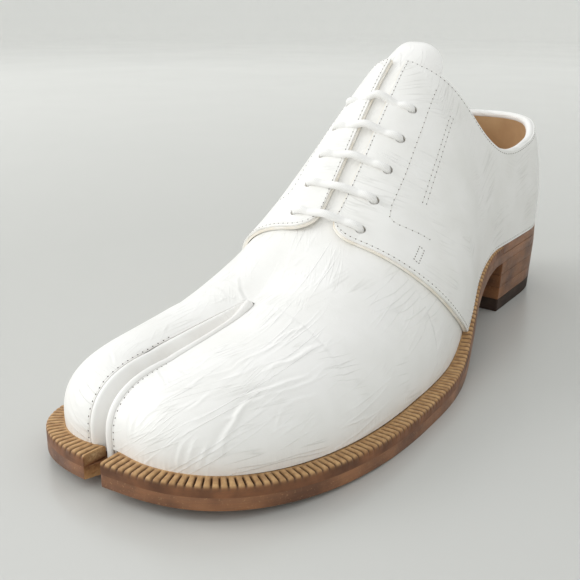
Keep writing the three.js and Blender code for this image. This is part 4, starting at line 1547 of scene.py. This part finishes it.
        # Share across the valley, share of the roll's height, share of the depth.
        profile = (
            (0.02, -0.45, 0), (0.06, 0.1, 0), (0.12, 0.62, 0), (0.2, 0.95, 0), (0.27, 1.0, 0.01),
            (0.34, 0.9, 0.04), (0.42, 0.6, 0.12), (0.5, 0.3, 0.24), (0.59, 0.1, 0.38),
            (0.68, 0, 0.54), (0.77, 0, 0.7),
            (0.85, 0, 0.83), (0.92, 0, 0.93), (0.97, 0, 0.98), (1.0, 0, 0.97),
        )
        pleat = 0.3 * np.maximum(np.sin(s * 2.4), 0) ** 2 * smooth(59, 64, s) * (1 - smooth(71, 74, s))
        lines = [(-0.9 + 0 * s, -0.7 * closing)]
        for share, rolled, down in profile:
            fold = pleat * math.sin(math.pi * min(share, 1))
            lines.append((share * valley, rolled * roll - down * depth + fold - 0.1))
        centre = width - 0.1 - bead / 2
        for angle in range(215, -46, -15):
            a = math.radians(angle)
            lines.append((centre + bead / 2 * math.cos(a), (math.sin(a) - 0.35) * rise))
        lines.append((width + 0.3, -1.1 * closing))
        rows = np.stack([medial + across * q[:, None] + up * h[:, None] for q, h in lines])
        gusset = join("cleft_gusset", [sheet("cleft_gusset", rows, flip=True)], weld=0.002)
        dress(gusset, wardrobe.gusset, (), 60)
        for side in (Side.MEDIAL, Side.LATERAL):
            points, facing = (part.reshape(-1, 3) for part in grids[side])
            spots = (seams[side] + side.value * across * self.row_inset)[s < self.row_ends[side]][14:]
            nearest = [int(((points - spot) ** 2).sum(1).argmin()) for spot in spots]
            stitching.row(eased(points[nearest], 12), eased(facing[nearest], 12), self.row_pitch)


def eased(values: np.ndarray, times: int) -> np.ndarray:
    """Rows smoothed along their length with both ends kept.

    Args:
        values: The rows.
        times: How often each is averaged with its neighbours.

    Returns:
        The smoothed rows.
    """
    values = values.copy()
    for _ in range(times):
        values[1:-1] = (values[:-2] + 2 * values[1:-1] + values[2:]) / 4
    return values


# Quarters


THROAT_SHIFT, FACING_CORNER, FACING_TOP = 3.5, 106.0, 181.0
FLAP_REACH, FLAP_LIFT = 17.0, 2.6
COLLAR_LOW, COLLAR_FRONT, COLLAR_BACK = 74.0, 40.0, 11.0


def throat_x(s: np.ndarray) -> np.ndarray:
    """Where the throat's middle line lies across at s."""
    return THROAT_SHIFT * np.clip((FACING_TOP - s) / (FACING_TOP - FACING_CORNER), 0, 1.2)


def flap_lift(points: np.ndarray) -> np.ndarray:
    """How far the facings' loose front corners stand off the vamp.

    Args:
        points: Rows of x, s and z.

    Returns:
        Millimetres.
    """
    spread = np.hypot(points[..., 1] - FACING_CORNER, points[..., 0] - THROAT_SHIFT)
    share = np.clip(1 - spread / FLAP_REACH, 0, 1)
    return FLAP_LIFT * share * share * (3 - 2 * share)


def collar_height(s: np.ndarray) -> np.ndarray:
    """Height of the collar line above the floor at s.

    Args:
        s: Distances back from the toe tip.

    Returns:
        Millimetres.
    """
    rows = Table(
        (-0.07, 0, 0.15, 0.32, 0.48, 0.69, 0.87, 1.1),
        front=(1.25, 1, 0.42, 0.1, 0, 0, 0, 0),
        heel=(0, 0, 0, 0, 0, 0.2, 0.8, 1),
    )
    back = (s - FACING_TOP) / (LAST.length - FACING_TOP)
    return COLLAR_LOW + COLLAR_FRONT * rows.read("front", back) + COLLAR_BACK * rows.read("heel", back)


def collar_turn(side: Side, v: np.ndarray) -> np.ndarray:
    """The turn at which each station's section reaches the collar line.

    Args:
        side: The side.
        v: Stations.

    Returns:
        Turns.
    """
    turn = np.full_like(v, 0.8)
    for _ in range(12):
        turn = LAST.turn_height(side, v, collar_height(LAST.face(side, v, turn)[..., 1]))
    return turn


@dataclass
class Quarters:
    """The two sides that lie on the vamp: facings with loose corners, eyelets, and a back seam."""

    clearance: float = 0.3
    leather: float = 0.8
    lining: float = 1.0
    lip: float = 0.5
    facing_half: float = 3.0
    corner: float = 9.0
    edge_foot: float = 168.0
    edge_top: float = 76.0
    eyelets: int = 5
    first_eyelet: float = 117.0
    last_eyelet: float = 163.4
    spread: float = 13.5
    bore: float = 4.0
    columns: int = 250
    rows: int = 92
    row_inset: float = 1.3
    row_pitch: float = 2.2

    @property
    def top(self) -> float:
        """Height of the quarter's face over the vamp's."""
        return self.clearance + self.lining + self.leather

    def __post_init__(self) -> None:
        """Reads the front edge's line."""
        self.edge = Table((0, 0.19, 0.36, 0.55, 0.72, 0.86, 1), back=(1.1, 0.78, 0.48, 0.24, 0.1, 0.02, 0))

    def front(self, side: Side, turn: np.ndarray, inset: float) -> np.ndarray:
        """How far back the quarter starts at each turn of the section, with its facing's corner rounded.

        Args:
            side: The side.
            turn: Turns.
            inset: Millimetres behind the edge.

        Returns:
            Distances back from the toe tip.
        """
        s = np.full_like(turn, 120.0)
        for _ in range(60):
            p = LAST.beyond(LAST.face, side, LAST.station(s), turn)
            back = self.edge.read("back", p[..., 2] / self.edge_top)
            line = FACING_CORNER + (self.edge_foot - FACING_CORNER) * back
            aside = side.value * (p[..., 0] - throat_x(s)) - self.facing_half - inset
            out = np.clip(self.corner - aside, 0, self.corner)
            s = 0.5 * s + 0.5 * (line + inset + self.corner - np.sqrt(self.corner**2 - out**2))
        return s

    def outline(self, side: Side, inset: float) -> tuple[np.ndarray, np.ndarray]:
        """The quarter's lower and upper edges, both from the facing's front corner to the heel.

        Args:
            side: The side.
            inset: How far the front and facing edges are drawn in.

        Returns:
            Rows of station and turn along each.
        """
        half = side.value * (self.facing_half + inset)
        tip = np.array(115.0)
        for _ in range(8):
            turn = LAST.turn_over(side, tip, half + throat_x(tip))
            tip = self.front(side, turn, inset)
        turn = float(turn) * (1 - np.linspace(0, 1, 400)) ** 0.9
        down = np.stack([LAST.station(self.front(side, turn, inset)), turn], 1)
        along = np.linspace(down[-1, 0], 3, 240)[1:]
        lower = np.concatenate([down, np.stack([along, np.zeros_like(along)], 1)])
        s = np.linspace(float(tip), FACING_TOP, 160)
        edge = LAST.turn_over(side, s, half + throat_x(s))
        v = np.linspace(float(LAST.station(FACING_TOP)), 3, 260)
        collar = collar_turn(side, v)
        step = np.linspace(edge[-1], collar[0], 12)[1:-1]
        upper = np.concatenate(
            [
                np.stack([LAST.station(s), edge], 1),
                np.stack([np.full_like(step, v[0]), step], 1),
                np.stack([v, np.minimum(collar, 0.995)], 1),
            ]
        )
        lower[0] = upper[0]
        return lower, upper

    def grid(
        self, side: Side, columns: int, rows: int, distance: float, inset: float = 0.0
    ) -> tuple[np.ndarray, np.ndarray]:
        """Rows and columns over one quarter.

        Args:
            side: The side.
            columns: From the front corner to the heel.
            rows: From the lower edge to the upper.
            distance: How far off the vamp.
            inset: How far the front and facing edges are drawn in.

        Returns:
            Points and normals.
        """
        lines = []
        for edge in self.outline(side, inset):
            p = LAST.beyond(LAST.face, side, edge[:, 0], edge[:, 1])
            run = lengths(p)
            lines.append(walk(edge, run[-1] * np.linspace(0, 1, columns) ** 1.15, run))
        share = np.linspace(0, 1, rows)[:, None, None]
        where = lines[0] * (1 - share) + lines[1] * share
        return self.over(side, where[..., 0], where[..., 1], distance)

    def over(
        self, side: Side, v: np.ndarray, turn: np.ndarray, distance: float
    ) -> tuple[np.ndarray, np.ndarray]:
        """Points at a distance off the vamp, more at the facing's loose corner.

        Args:
            side: The side.
            v: Stations.
            turn: Turns, past 1 beyond the crest.
            distance: How far off the vamp.

        Returns:
            Points and normals.
        """
        points = LAST.beyond(LAST.face, side, v, turn)
        normals = LAST.beyond(LAST.normal, side, v, turn)
        return points + normals * (distance + flap_lift(points))[..., None], normals

    def eyelet_places(self, side: Side) -> tuple[np.ndarray, np.ndarray]:
        """Centres of the eyelets on the quarter's face, and the normals there.

        Args:
            side: The side.

        Returns:
            The centres and the normals.
        """
        s = np.linspace(self.first_eyelet, self.last_eyelet, self.eyelets)
        turn = LAST.turn_across(side, s, side.value * self.spread + throat_x(s))
        return self.over(side, LAST.station(s), turn, self.top)

    def punch(self, piece: bpy.types.Object, side: Side) -> None:
        """Cuts the eyelets through a piece.

        Args:
            piece: The object.
            side: The side.
        """
        cutters = []
        for point, normal in zip(*self.eyelet_places(side)):
            clear_selection()
            bpy.ops.mesh.primitive_cylinder_add(vertices=28, radius=self.bore / 2000, depth=0.008)
            cutter = bpy.context.object
            turned = Vector(normal).to_track_quat("Z", "Y").to_matrix()
            place(cutter, coordinates(cutter) @ np.array(turned).T + to_frame(point))
            cutters.append(cutter)
        cutter = join("punches", cutters)
        modify(piece, "BOOLEAN", object=cutter, operation="DIFFERENCE", solver="EXACT")
        bpy.data.objects.remove(cutter)

    def build(self, wardrobe: Wardrobe, stitching: Stitching) -> None:
        """Builds both quarters with their linings, eyelets and stitches.

        Args:
            wardrobe: The materials.
            stitching: Takes the stitches.
        """
        for side in Side:
            name = side.name.lower()
            points, normals = self.grid(side, self.columns, self.rows, self.top, self.lip)
            under, _ = self.grid(side, 200, 40, self.clearance + self.lining)
            for title, face, thickness in (
                (f"quarter_{name}", points, self.leather - 0.08),
                (f"quarter_backing_{name}", under, self.lining - 0.04),
            ):
                piece = join(title, [sheet(title, face, side is Side.MEDIAL)], weld=0.004)
                modify(piece, "SOLIDIFY", thickness=thickness * 0.001, offset=-1)
                self.punch(piece, side)
                if face is points:
                    dress(piece, wardrobe.calf, [title], 50)
                else:
                    dress(piece, wardrobe.cream)
            self.stitch(points, normals, side, stitching)

    def stitch(self, points: np.ndarray, normals: np.ndarray, side: Side, stitching: Stitching) -> None:
        """Stitches a quarter.

        Args:
            points: Its grid.
            normals: Normals at it.
            side: The side.
            stitching: Takes the stitches.
        """
        for upper in (False, True):
            stitching.row(*inside(points, normals, self.row_inset, upper), self.row_pitch)
        # Facing reinforcement 18 mm back, turning down 16 mm behind the front edge.
        turned = ((177, 17), (160, 18), (143, 18.5), (131, 18), (127, 19), (126.5, 22), (129, 28), (134, 38))
        self.seam(side, turned, stitching)
        # Staggered double row that holds the lining 11 mm farther back, and the bar tack below them.
        for gap, shift in ((29.0, 0.0), (31.0, 1.1)):
            self.seam(side, ((176 + shift, gap - 1), (158, gap), (141 + shift, gap + 0.4)), stitching)
        tack = ((122, 34), (128, 34.5), (128.4, 37), (122.4, 36.5), (122, 34))
        self.seam(side, tack, stitching, 1.3)
        # Back seam, a little to each side of the heel's middle.
        v = np.full(40, 2.985)
        turn = np.linspace(0.06, float(collar_turn(side, v[:1])[0]) - 0.04, 40)
        stitching.row(LAST.raised(side, v, turn, self.top), LAST.normal(side, v, turn), self.row_pitch)

    def seam(self, side: Side, spots: Sequence[tuple], stitching: Stitching, pitch: float = 2.6) -> None:
        """A row of stitches through spots given by station and length back from the facing's edge.

        Args:
            side: The side.
            spots: Station and length of each.
            stitching: Takes the stitches.
            pitch: Millimetres between holes.
        """
        spots = np.array(spots, float)
        at = np.linspace(0, len(spots) - 1, 24 * len(spots))
        s, back = (np.interp(at, np.arange(len(spots)), spots[:, k]) for k in range(2))
        v = LAST.station(s)
        start = LAST.turn_over(side, s, side.value * self.facing_half + throat_x(s))
        turns = start[:, None] * np.linspace(1, 0, 120)
        line = LAST.beyond(LAST.face, side, v[:, None], turns)
        run = lengths(line.transpose(1, 0, 2)).T
        turn = np.array([np.interp(*row) for row in zip(back, run, turns)])
        stitching.row(*self.over(side, v, turn, self.top), pitch)


def inside(
    points: np.ndarray, normals: np.ndarray, distance: float, upper: bool
) -> tuple[np.ndarray, np.ndarray]:
    """A path at a distance inside the upper or lower edge of a grid, short of its ends.

    Args:
        points: The grid.
        normals: Normals at it.
        distance: Millimetres from the edge.
        upper: Whether it follows the last row.

    Returns:
        Points and normals along the path.
    """
    if upper:
        points, normals = points[::-1], normals[::-1]
    run, last = lengths(points), points.shape[1] - 1
    columns = [j for j in range(int(0.02 * last), int(0.985 * last) + 1) if run[-1, j] >= distance * 1.6]
    at = np.array([distance])
    path, facing = ([walk(part[:, j], at, run[:, j])[0] for j in columns] for part in (points, normals))
    return np.array(path), np.array(facing)


@dataclass
class Inside:
    """Lining, collar edge, tongue and insole sock."""

    throat_start: float = 116.0
    throat_half: float = 18.0
    wall: float = 2.0
    tongue_start: float = 109.0
    tongue_end: float = 197.0
    tongue_half: float = 17.6
    sock_height: float = 10.9

    def build(self, wardrobe: Wardrobe) -> None:
        """Builds the pieces.

        Args:
            wardrobe: The materials.
        """
        self.build_lining(wardrobe)
        self.build_collar(wardrobe)
        self.build_tongue(wardrobe)
        self.build_sock(wardrobe)

    def build_lining(self, wardrobe: Wardrobe) -> None:
        """Builds the lining from behind the cleft to the heel.

        Args:
            wardrobe: The materials.
        """
        start = LAST.fan_station(LAST.seams.keys[-1] + 4)
        v = np.concatenate([[start], np.linspace(0.86, 3, 190)])
        halves = []
        for side in Side:
            s = LAST.spine(side, v)[:, 1]
            edge = LAST.turn_across(side, s, side.value * self.throat_half + throat_x(s))
            end = np.where(s < self.throat_start, 1.0, np.minimum(edge, collar_turn(side, v)))
            turns = end[None] * np.linspace(0.0, 1, 60)[:, None]
            points = LAST.raised(side, v, turns, -self.wall)
            halves.append(sheet("lining_half", points, flip=side is Side.LATERAL))
        lining = join("lining", halves, weld=0.02)
        dress(lining, wardrobe.lining, (), 60)

    def build_collar(self, wardrobe: Wardrobe) -> None:
        """Builds the folded edge that closes quarter and lining along the collar.

        Args:
            wardrobe: The materials.
        """
        v = np.linspace(float(LAST.station(FACING_TOP + 1.0)), 3, 170)
        right, left = (LAST.raised(side, v, collar_turn(side, v), 0.05) - (0, 0, 0.9) for side in Side)
        path = np.concatenate([right, left[::-1][1:]])
        share = np.linspace(0, 1, len(path))
        radius = 2.0 * np.sqrt(np.clip(np.minimum(share, 1 - share) * 40, 0.02, 1))
        collar = tube("collar_edge", path, radius, 14)
        dress(collar, wardrobe.calf, (), 60)

    def build_tongue(self, wardrobe: Wardrobe) -> None:
        """Builds the tongue under the facings.

        Args:
            wardrobe: The materials.
        """
        s = np.linspace(self.tongue_start, self.tongue_end, 110)
        v = LAST.station(s)
        back = np.clip((s - (self.tongue_end - 9)) / 9, 0, 1)
        half = self.tongue_half - 9 * (1 - np.sqrt(np.clip(1 - back**2, 0, 1)))
        under = -0.9 * (1 - smooth(self.tongue_start, 119, s)) - 0.05
        rows = []
        for share in np.linspace(-1, 1, 61):
            x = throat_x(s) + half * share
            right, left = (LAST.raised(side, v, LAST.turn_across(side, s, x), under) for side in Side)
            rows.append(np.where((x > LAST.spine(Side.LATERAL, v)[:, 0])[:, None], right, left))
        tongue = join("tongue", [sheet("tongue", np.array(rows)[::-1])], weld=0.004)
        modify(tongue, "SOLIDIFY", thickness=0.0017, offset=-1)
        bevel(tongue, 0.0004, 55)
        dress(tongue, wardrobe.calf, ["tongue"], 50)

    def build_sock(self, wardrobe: Wardrobe) -> None:
        """Builds the insole sock, slightly dished.

        Args:
            wardrobe: The materials.
        """
        loop = LAST.loop(lambda s: LAST.ledge(s) + self.wall + 0.4 + 9 * (1 - smooth(15, 70, s)))
        v = np.linspace(0.02, 2.98, 150)
        right, left = LAST.foot(Side.LATERAL, v, loop), LAST.foot(Side.MEDIAL, v, loop)
        share = np.linspace(0, 1, 31)[:, None, None]
        plan = right * (1 - share) + left * share
        dish = 0.8 * (2 * share[..., 0] - 1) ** 4
        z = LAST.underside(plan[..., 1]) + self.sock_height + dish
        sock = sheet("insole_sock", np.concatenate([plan, z[..., None]], -1))
        modify(sock, "SOLIDIFY", thickness=0.0024, offset=-1)
        dress(sock, wardrobe.lining, ["insole"], 60)


@dataclass
class Laces:
    """One straight stretch of waxed cord over the facings at each pair of eyelets."""

    radius: float = 1.5
    rest: float = 2.45

    def build(self, quarters: Quarters, wardrobe: Wardrobe) -> None:
        """Builds the stretches, each from deep in one eyelet to deep in the other.

        Args:
            quarters: The quarters, for their eyelets.
            wardrobe: The materials.
        """
        (lateral, out), (medial, inner) = (quarters.eyelet_places(side) for side in Side)
        for i in range(quarters.eyelets):
            a, b, na, nb = medial[i], lateral[i], inner[i], out[i]
            x, s = (np.array([value]) for value in ((a + b) / 2)[:2])
            v = LAST.station(s)
            side = Side.LATERAL if x[0] > LAST.spine(Side.LATERAL, v)[0, 0] else Side.MEDIAL
            turn = LAST.turn_across(side, s, x)
            face = LAST.face(side, v, turn)[0]
            top = face + LAST.normal(side, v, turn)[0] * (self.rest + self.radius + flap_lift(face))
            inward = unit(b - a)
            # Height over the quarter and length in from the eyelet, the same at both ends.
            spots = ((-3, -0.2), (-1, 0.1), (0.9, 1), (self.radius + 0.45, 3.6), (self.radius + 0.4, 7))
            knots = [a + na * up + inward * along for up, along in spots] + [top]
            knots += [b + nb * up - inward * along for up, along in spots[::-1]]
            run = lengths(knots)
            line = Table(run / run[-1], **dict(zip("xyz", np.array(knots).T)))
            path = np.stack([line.read(axis, np.linspace(0, 1, 90)) for axis in "xyz"], 1)
            lace = tube(f"lace_{i + 1}", path, self.radius, 18)
            dress(lace, wardrobe.cord, [f"lace_bar_{i + 1}"], 60)


# The bottom


@dataclass
class Bottom:
    """Outsole, wheeled welt, rand and stacked heel."""

    pitch: float = 2.55
    groove: float = 0.85
    groove_width: float = 0.34
    mouth: float = 7.4
    notch: float = 12.5
    notch_end: float = 3.0
    hold: float = 4.2
    samples: int = 12
    taper: float = 1.6
    top_piece: float = 6.0
    lifts: int = 3
    hollow: float = 3.0
    toe_part: float = 30.0

    def notch_side(self, side: Side, s: np.ndarray) -> np.ndarray:
        """Where the notch's wall lies across at s on one side."""
        half = self.mouth / 2 - (self.mouth - self.notch_end) / 2 * s / self.notch
        return LAST.cleft(s) + side.value * half

    def run(self, side: Side, distance: float = 0.0) -> np.ndarray:
        """The outline from the notch's wall round one side to the heel's back.

        Args:
            side: The side.
            distance: Inset.

        Returns:
            Rows of x and s, about 0.5 mm apart or less.
        """
        own, other = LAST.inset(side, distance), LAST.inset(side.other, distance)
        past, ahead = (side.value * (p[:, 0] - self.notch_side(side, p[:, 1])) > 0 for p in (other, own))
        fore, near = other[:, 1] < self.toe_part, own[:, 1] < self.toe_part
        line = np.concatenate([other[fore & past][::-1], own[~near | ahead]])
        front = np.concatenate([other[fore][::-1], own[near]])
        front = front[np.argsort(front[:, 0])]
        s = np.linspace(0, 6, 400)
        wall = np.stack([self.notch_side(side, s), s], 1)
        gap = np.abs(wall[:, 1] - np.interp(wall[:, 0], front[:, 0], front[:, 1]))
        return np.concatenate([wall[[gap.argmin()]], line])

    def build(self, wardrobe: Wardrobe) -> None:
        """Builds the pieces.

        Args:
            wardrobe: The materials.
        """
        for side in Side:
            self.build_welt(side, wardrobe)
        self.build_outsole(wardrobe)
        self.build_rand(wardrobe)
        self.build_heel(wardrobe)

    def build_welt(self, side: Side, wardrobe: Wardrobe) -> None:
        """Builds one side's welt with its wheeled teeth.

        Args:
            side: The side.
            wardrobe: The materials.
        """
        line = self.run(side)
        step = np.linalg.norm(np.diff(line, axis=0), axis=1)
        line = line[np.concatenate([[True], step > 1e-6])]
        run = lengths(line)
        end = np.interp(LAST.breast, np.maximum.accumulate(np.where(run > 40, line[:, 1], -1)), run)
        teeth = round(end / self.pitch)
        at = np.linspace(0, end, teeth * self.samples + 1)
        p = walk(line, at, run)
        inward = left_of(p) * side.value
        aside = (p[:, 0] - LAST.cleft(p[:, 1])) / LAST.lobe_reach
        front = (p[:, 1] < self.toe_part) * np.exp(-aside * aside)
        ledge = LAST.ledge(p[:, 1]) + LAST.lobe_rounding * front
        hold = self.hold * smooth(-4, 12, at)
        phase = (np.arange(len(at)) % self.samples) / self.samples
        tooth = end / teeth
        off = np.abs(phase - 0.5) * tooth
        fade = smooth(0.4, 1.2, at) * (1 - smooth(end - 1.2, end - 0.4, at))
        cut = np.exp(-((off / self.groove_width) ** 2)) * fade
        crown = 0.16 * (1 - np.clip((tooth / 2 - off) / (tooth / 2), 0, 1) ** 2)
        base = LAST.outsole + LAST.seam
        # Columns: distance in from the edge in share of the ledge and mm, height, share of the groove's
        # depth across the top, share of it into the edge, and whether dyed edge or wheeled top.
        top = tuple((share, 0, 3.46, 1, 0, 0) for share in (0.22, 0.34, 0.48, 0.6, 0.72))
        profile = (
            (0, 0, -0.4, 0, 0, 1), (0, 0, 0.5, 0, 0, 1), (0, 0, 1.3, 0, 0, 1), (0, 0, 2.0, 0, 0.12, 1),
            (0, 0, 2.45, 0, 0.4, 0.9), (0, 0.02, 2.8, 0.1, 0.7, 0.6), (0, 0.12, 3.08, 0.3, 0.85, 0.25),
            (0, 0.34, 3.3, 0.6, 0.8, 0), (0, 0.7, 3.42, 0.85, 0.5, 0), *top, (0.82, 0, 3.46, 0.85, 0, 0),
            (0.88, 0, 3.46, 0.4, 0, 0), (0.93, 0, 3.44, 0.1, 0, 0), (1, 0, 3.3, 0, 0, 0),
            (1, 0.5, 3.05, 0, 0, 0), (1, 0.48 * hold, 2.8, 0, 0, 0), (1, hold, 2.6, 0, 0, 0),
            (1, hold, -0.4, 0, 0, 1), (0, 0, -0.4, 0, 0, 1),
        )
        rows, groove_shade_and_dye = [], []
        for share, extra, height, deep, bite, dyed in profile:
            q = ledge * share + extra + bite * self.groove * 0.8 * cut
            h = base + height - deep * (self.groove * cut) + deep * crown * fade
            plan = p + inward * q[:, None]
            rows.append(np.concatenate([plan, (LAST.underside(p[:, 1]) + h)[:, None]], 1))
            groove_shade_and_dye.append(np.stack([np.clip(cut * max(deep, bite) * 1.3, 0, 1), np.full_like(at, dyed)], 1))
        rows = capped(np.array(rows))
        name = f"welt_{side.name.lower()}"
        welt = sheet(name, rows, flip=side is Side.LATERAL)
        # Red marks the grooves for their painted shade, green the dyed edge, blue the cut end at the notch.
        tone = np.zeros((*rows.shape[:2], 4))
        tone[:, 1:-1, :2] = np.array(groove_shade_and_dye)
        tone[:, :1, 2], tone[..., 3] = 1, 1
        give(welt, "tone", "FLOAT_COLOR", "color", tone)
        welt = join(name, [welt], weld=0.002)
        dress(welt, wardrobe.welt, [name], 50)

    def ring(self) -> np.ndarray:
        """The outsole's outline as a closed ring with the toe's notch.

        Returns:
            Rows of x and s, from above.
        """
        s = np.linspace(self.notch, 3.0, 9)
        walls = []
        for side in Side:
            rough = 0.12 * np.sin(s * 3.1 + side.value)
            walls.append(np.stack([self.notch_side(side, s) + rough, s], 1))
        return np.concatenate([walls[0], both_sides(self.run, 380), walls[1][::-1]])

    def build_outsole(self, wardrobe: Wardrobe) -> None:
        """Builds the outsole, cut along its length so that it follows toe spring and arch.

        Args:
            wardrobe: The materials.
        """
        ring = self.ring()
        flat = np.concatenate([ring, np.zeros((len(ring), 1))], 1)
        cuts = np.concatenate([np.arange(3, 92, 3.0), np.arange(128, 220, 2.5)])
        sole = prism("outsole", flat, flat + np.array([0, 0, LAST.outsole]), cuts)
        p = coordinates(sole)
        p[:, 2] += LAST.underside(p[:, 1] * 1000 + LAST.length / 2) * 0.001
        place(sole, p)
        bevel(sole, 0.0005, 50)
        dress(sole, wardrobe.sole, ["outsole"], 40)
        sole.data.materials.append(wardrobe.fibre)
        for face in sole.data.polygons:
            x, y, _ = face.center * 1000
            s = y + LAST.length / 2
            near = abs(x + LAST.axis_shift - float(LAST.cleft(np.array(s)))) < self.mouth / 2 + 0.3
            if near and s < self.notch + 0.5 and abs(face.normal.z) < 0.5 and abs(face.normal.y) < 0.7:
                face.material_index = 1

    def build_rand(self, wardrobe: Wardrobe) -> None:
        """Builds the plain strip that closes the welt's ring round the heel seat.

        Args:
            wardrobe: The materials.
        """
        p = both_sides(lambda side: self.seat(side, LAST.breast + 0.3), 150)
        inward = left_of(p)
        rows = []
        for share, extra, height in (
            (0, 0, 0), (0, 0, 2.6), (0, 0.1, 3.1), (0, 0.4, 3.36), (0.5, 0, 3.4), (1, 0, 3.3),
            (1, 4, 3.0), (1, 4, 0), (0, 0, 0),
        ):
            plan = p + inward * (LAST.ledge(p[:, 1]) * share + extra)[:, None]
            z = LAST.underside(p[:, 1]) + LAST.outsole + LAST.seam + height
            rows.append(np.concatenate([plan, z[:, None]], 1))
        rand = join("heel_rand", [sheet("heel_rand", capped(np.array(rows)), flip=True)], weld=0.002)
        dress(rand, wardrobe.sole, ["heel_rand"], 50)

    def seat(self, side: Side, start: float, inset: float = 0.0) -> np.ndarray:
        """One side of the outline behind a start, moved inward."""
        line = LAST.inset(side, inset)
        return line[line[:, 1] > start]

    def heel_ring(self, z: float) -> np.ndarray:
        """The heel's outline at a height above the floor, counterclockwise from above.

        Args:
            z: Height above the floor.

        Returns:
            Rows of x, s and z.
        """
        inset = self.taper * (1 - z / LAST.heel_height)
        round_back = both_sides(lambda side: self.seat(side, LAST.breast, inset), 90)
        t = np.linspace(0, 1, 42)[1:-1]
        first, last = round_back[0, 0], round_back[-1, 0]
        breast = np.stack([last + (first - last) * t, LAST.breast + self.hollow * np.sin(np.pi * t)], 1)
        ring = np.concatenate([round_back, breast])
        return np.concatenate([ring, np.full((len(ring), 1), z)], 1)

    def build_heel(self, wardrobe: Wardrobe) -> None:
        """Builds the lifts and the rubber top piece.

        Args:
            wardrobe: The materials.
        """
        height = (LAST.heel_height - self.top_piece) / self.lifts
        pieces = [("heel_top_piece", 0.0, self.top_piece, 0.0005, wardrobe.rubber, "heel_rubber")]
        for i in range(self.lifts):
            name, low = f"heel_lift_{i + 1}", self.top_piece + i * height + 0.06
            pieces.append((name, low, low + height - 0.08, 0.00022, wardrobe.lift, "sole_leather"))
        for name, low, high, edge, finish, slot in pieces:
            piece = prism(name, self.heel_ring(low), self.heel_ring(high))
            bevel(piece, edge, 40)
            dress(piece, finish, [name], 35)


# The studio


@dataclass
class Studio:
    """Pale floor, soft lights and the camera."""

    eye: tuple = (0.1673, -0.328, 0.146)
    target: tuple = (-0.043, 0.0117, 0.0159)
    lens: float = 58.0
    sky: str = "F2F4F5"
    sky_strength: float = 0.85
    # Name, place, size and watts.
    lights: tuple = (
        ("key", (-1.4, -0.7, 0.8), 1.0, 13),
        ("fill", (0.4, -1.5, 0.5), 1.3, 4),
        ("top", (-0.9, 0.5, 1.2), 1.2, 2.5),
    )
    flat: float = 2.4
    sweep: float = 1.2
    wall: float = 1.9

    def build(self) -> None:
        """Builds floor, lights and camera."""
        self.floor()
        world = bpy.data.worlds.new("studio_light")
        bpy.context.scene.world = world
        world.use_nodes = True
        back = world.node_tree.nodes["Background"]
        back.inputs["Color"].default_value = linear(self.sky)
        back.inputs["Strength"].default_value = self.sky_strength
        for light in self.lights:
            self.light(*light)
        data = bpy.data.cameras.new("camera")
        camera = bpy.data.objects.new("camera", data)
        bpy.context.collection.objects.link(camera)
        data.lens = self.lens
        data.clip_start = 0.01
        self.aim(camera, self.eye)
        bpy.context.scene.camera = camera
        bpy.context.scene.view_settings.view_transform = "Standard"

    def floor(self) -> None:
        """Builds a round floor whose rim sweeps up into a wall, so that no view meets a horizon."""
        turn = np.linspace(0, np.pi / 2, 20)
        rim = self.flat + self.sweep
        flat = np.linspace(0, self.flat, 30)
        reach = np.concatenate([flat, self.flat + self.sweep * np.sin(turn[1:]), [rim]])
        height = np.concatenate([np.zeros(30), self.sweep * (1 - np.cos(turn[1:])), [self.wall]])
        around = np.linspace(0, 2 * np.pi, 97)[:, None]
        rows = np.stack([reach * np.cos(around), reach * np.sin(around), height + 0 * around], -1) * 1000
        rows += np.array([LAST.axis_shift, LAST.length / 2, 0.0])
        floor = join("studio_floor", [sheet("studio_floor", rows.transpose(1, 0, 2), flip=True)], weld=1.0)
        floor.data.materials.append(StudioPaper().make())
        soften(floor, 60)

    def light(self, name: str, where: tuple, size: float, power: float) -> None:
        """Adds a soft light that faces the shoe.

        Args:
            name: Name of the light.
            where: Its place.
            size: Its size in metres.
            power: Its power in watts.
        """
        clear_selection()
        bpy.ops.object.light_add(type="AREA", location=where)
        lamp = bpy.context.object
        lamp.name = lamp.data.name = name
        lamp.data.size, lamp.data.energy = size, power
        self.aim(lamp, where)

    def aim(self, piece: bpy.types.Object, where: tuple) -> None:
        """Puts a lamp or camera in its place and turns it to the shoe.

        Args:
            piece: The object.
            where: Its place in metres.
        """
        piece.location = where
        piece.rotation_mode = "QUATERNION"
        piece.rotation_quaternion = (Vector(self.target) - Vector(where)).to_track_quat("-Z", "Y")


def main() -> None:
    """Builds the shoe and the studio, piece by piece."""
    logging.basicConfig(level=logging.INFO, format="%(name)s: %(message)s")
    Studio().build()
    wardrobe = Wardrobe.make()
    stitching = Stitching()
    Bottom().build(wardrobe)
    Vamp().build(wardrobe, stitching)
    quarters = Quarters()
    quarters.build(wardrobe, stitching)
    Inside().build(wardrobe)
    Laces().build(quarters, wardrobe)
    stitching.build(wardrobe)


if __name__ == "__main__":
    main()
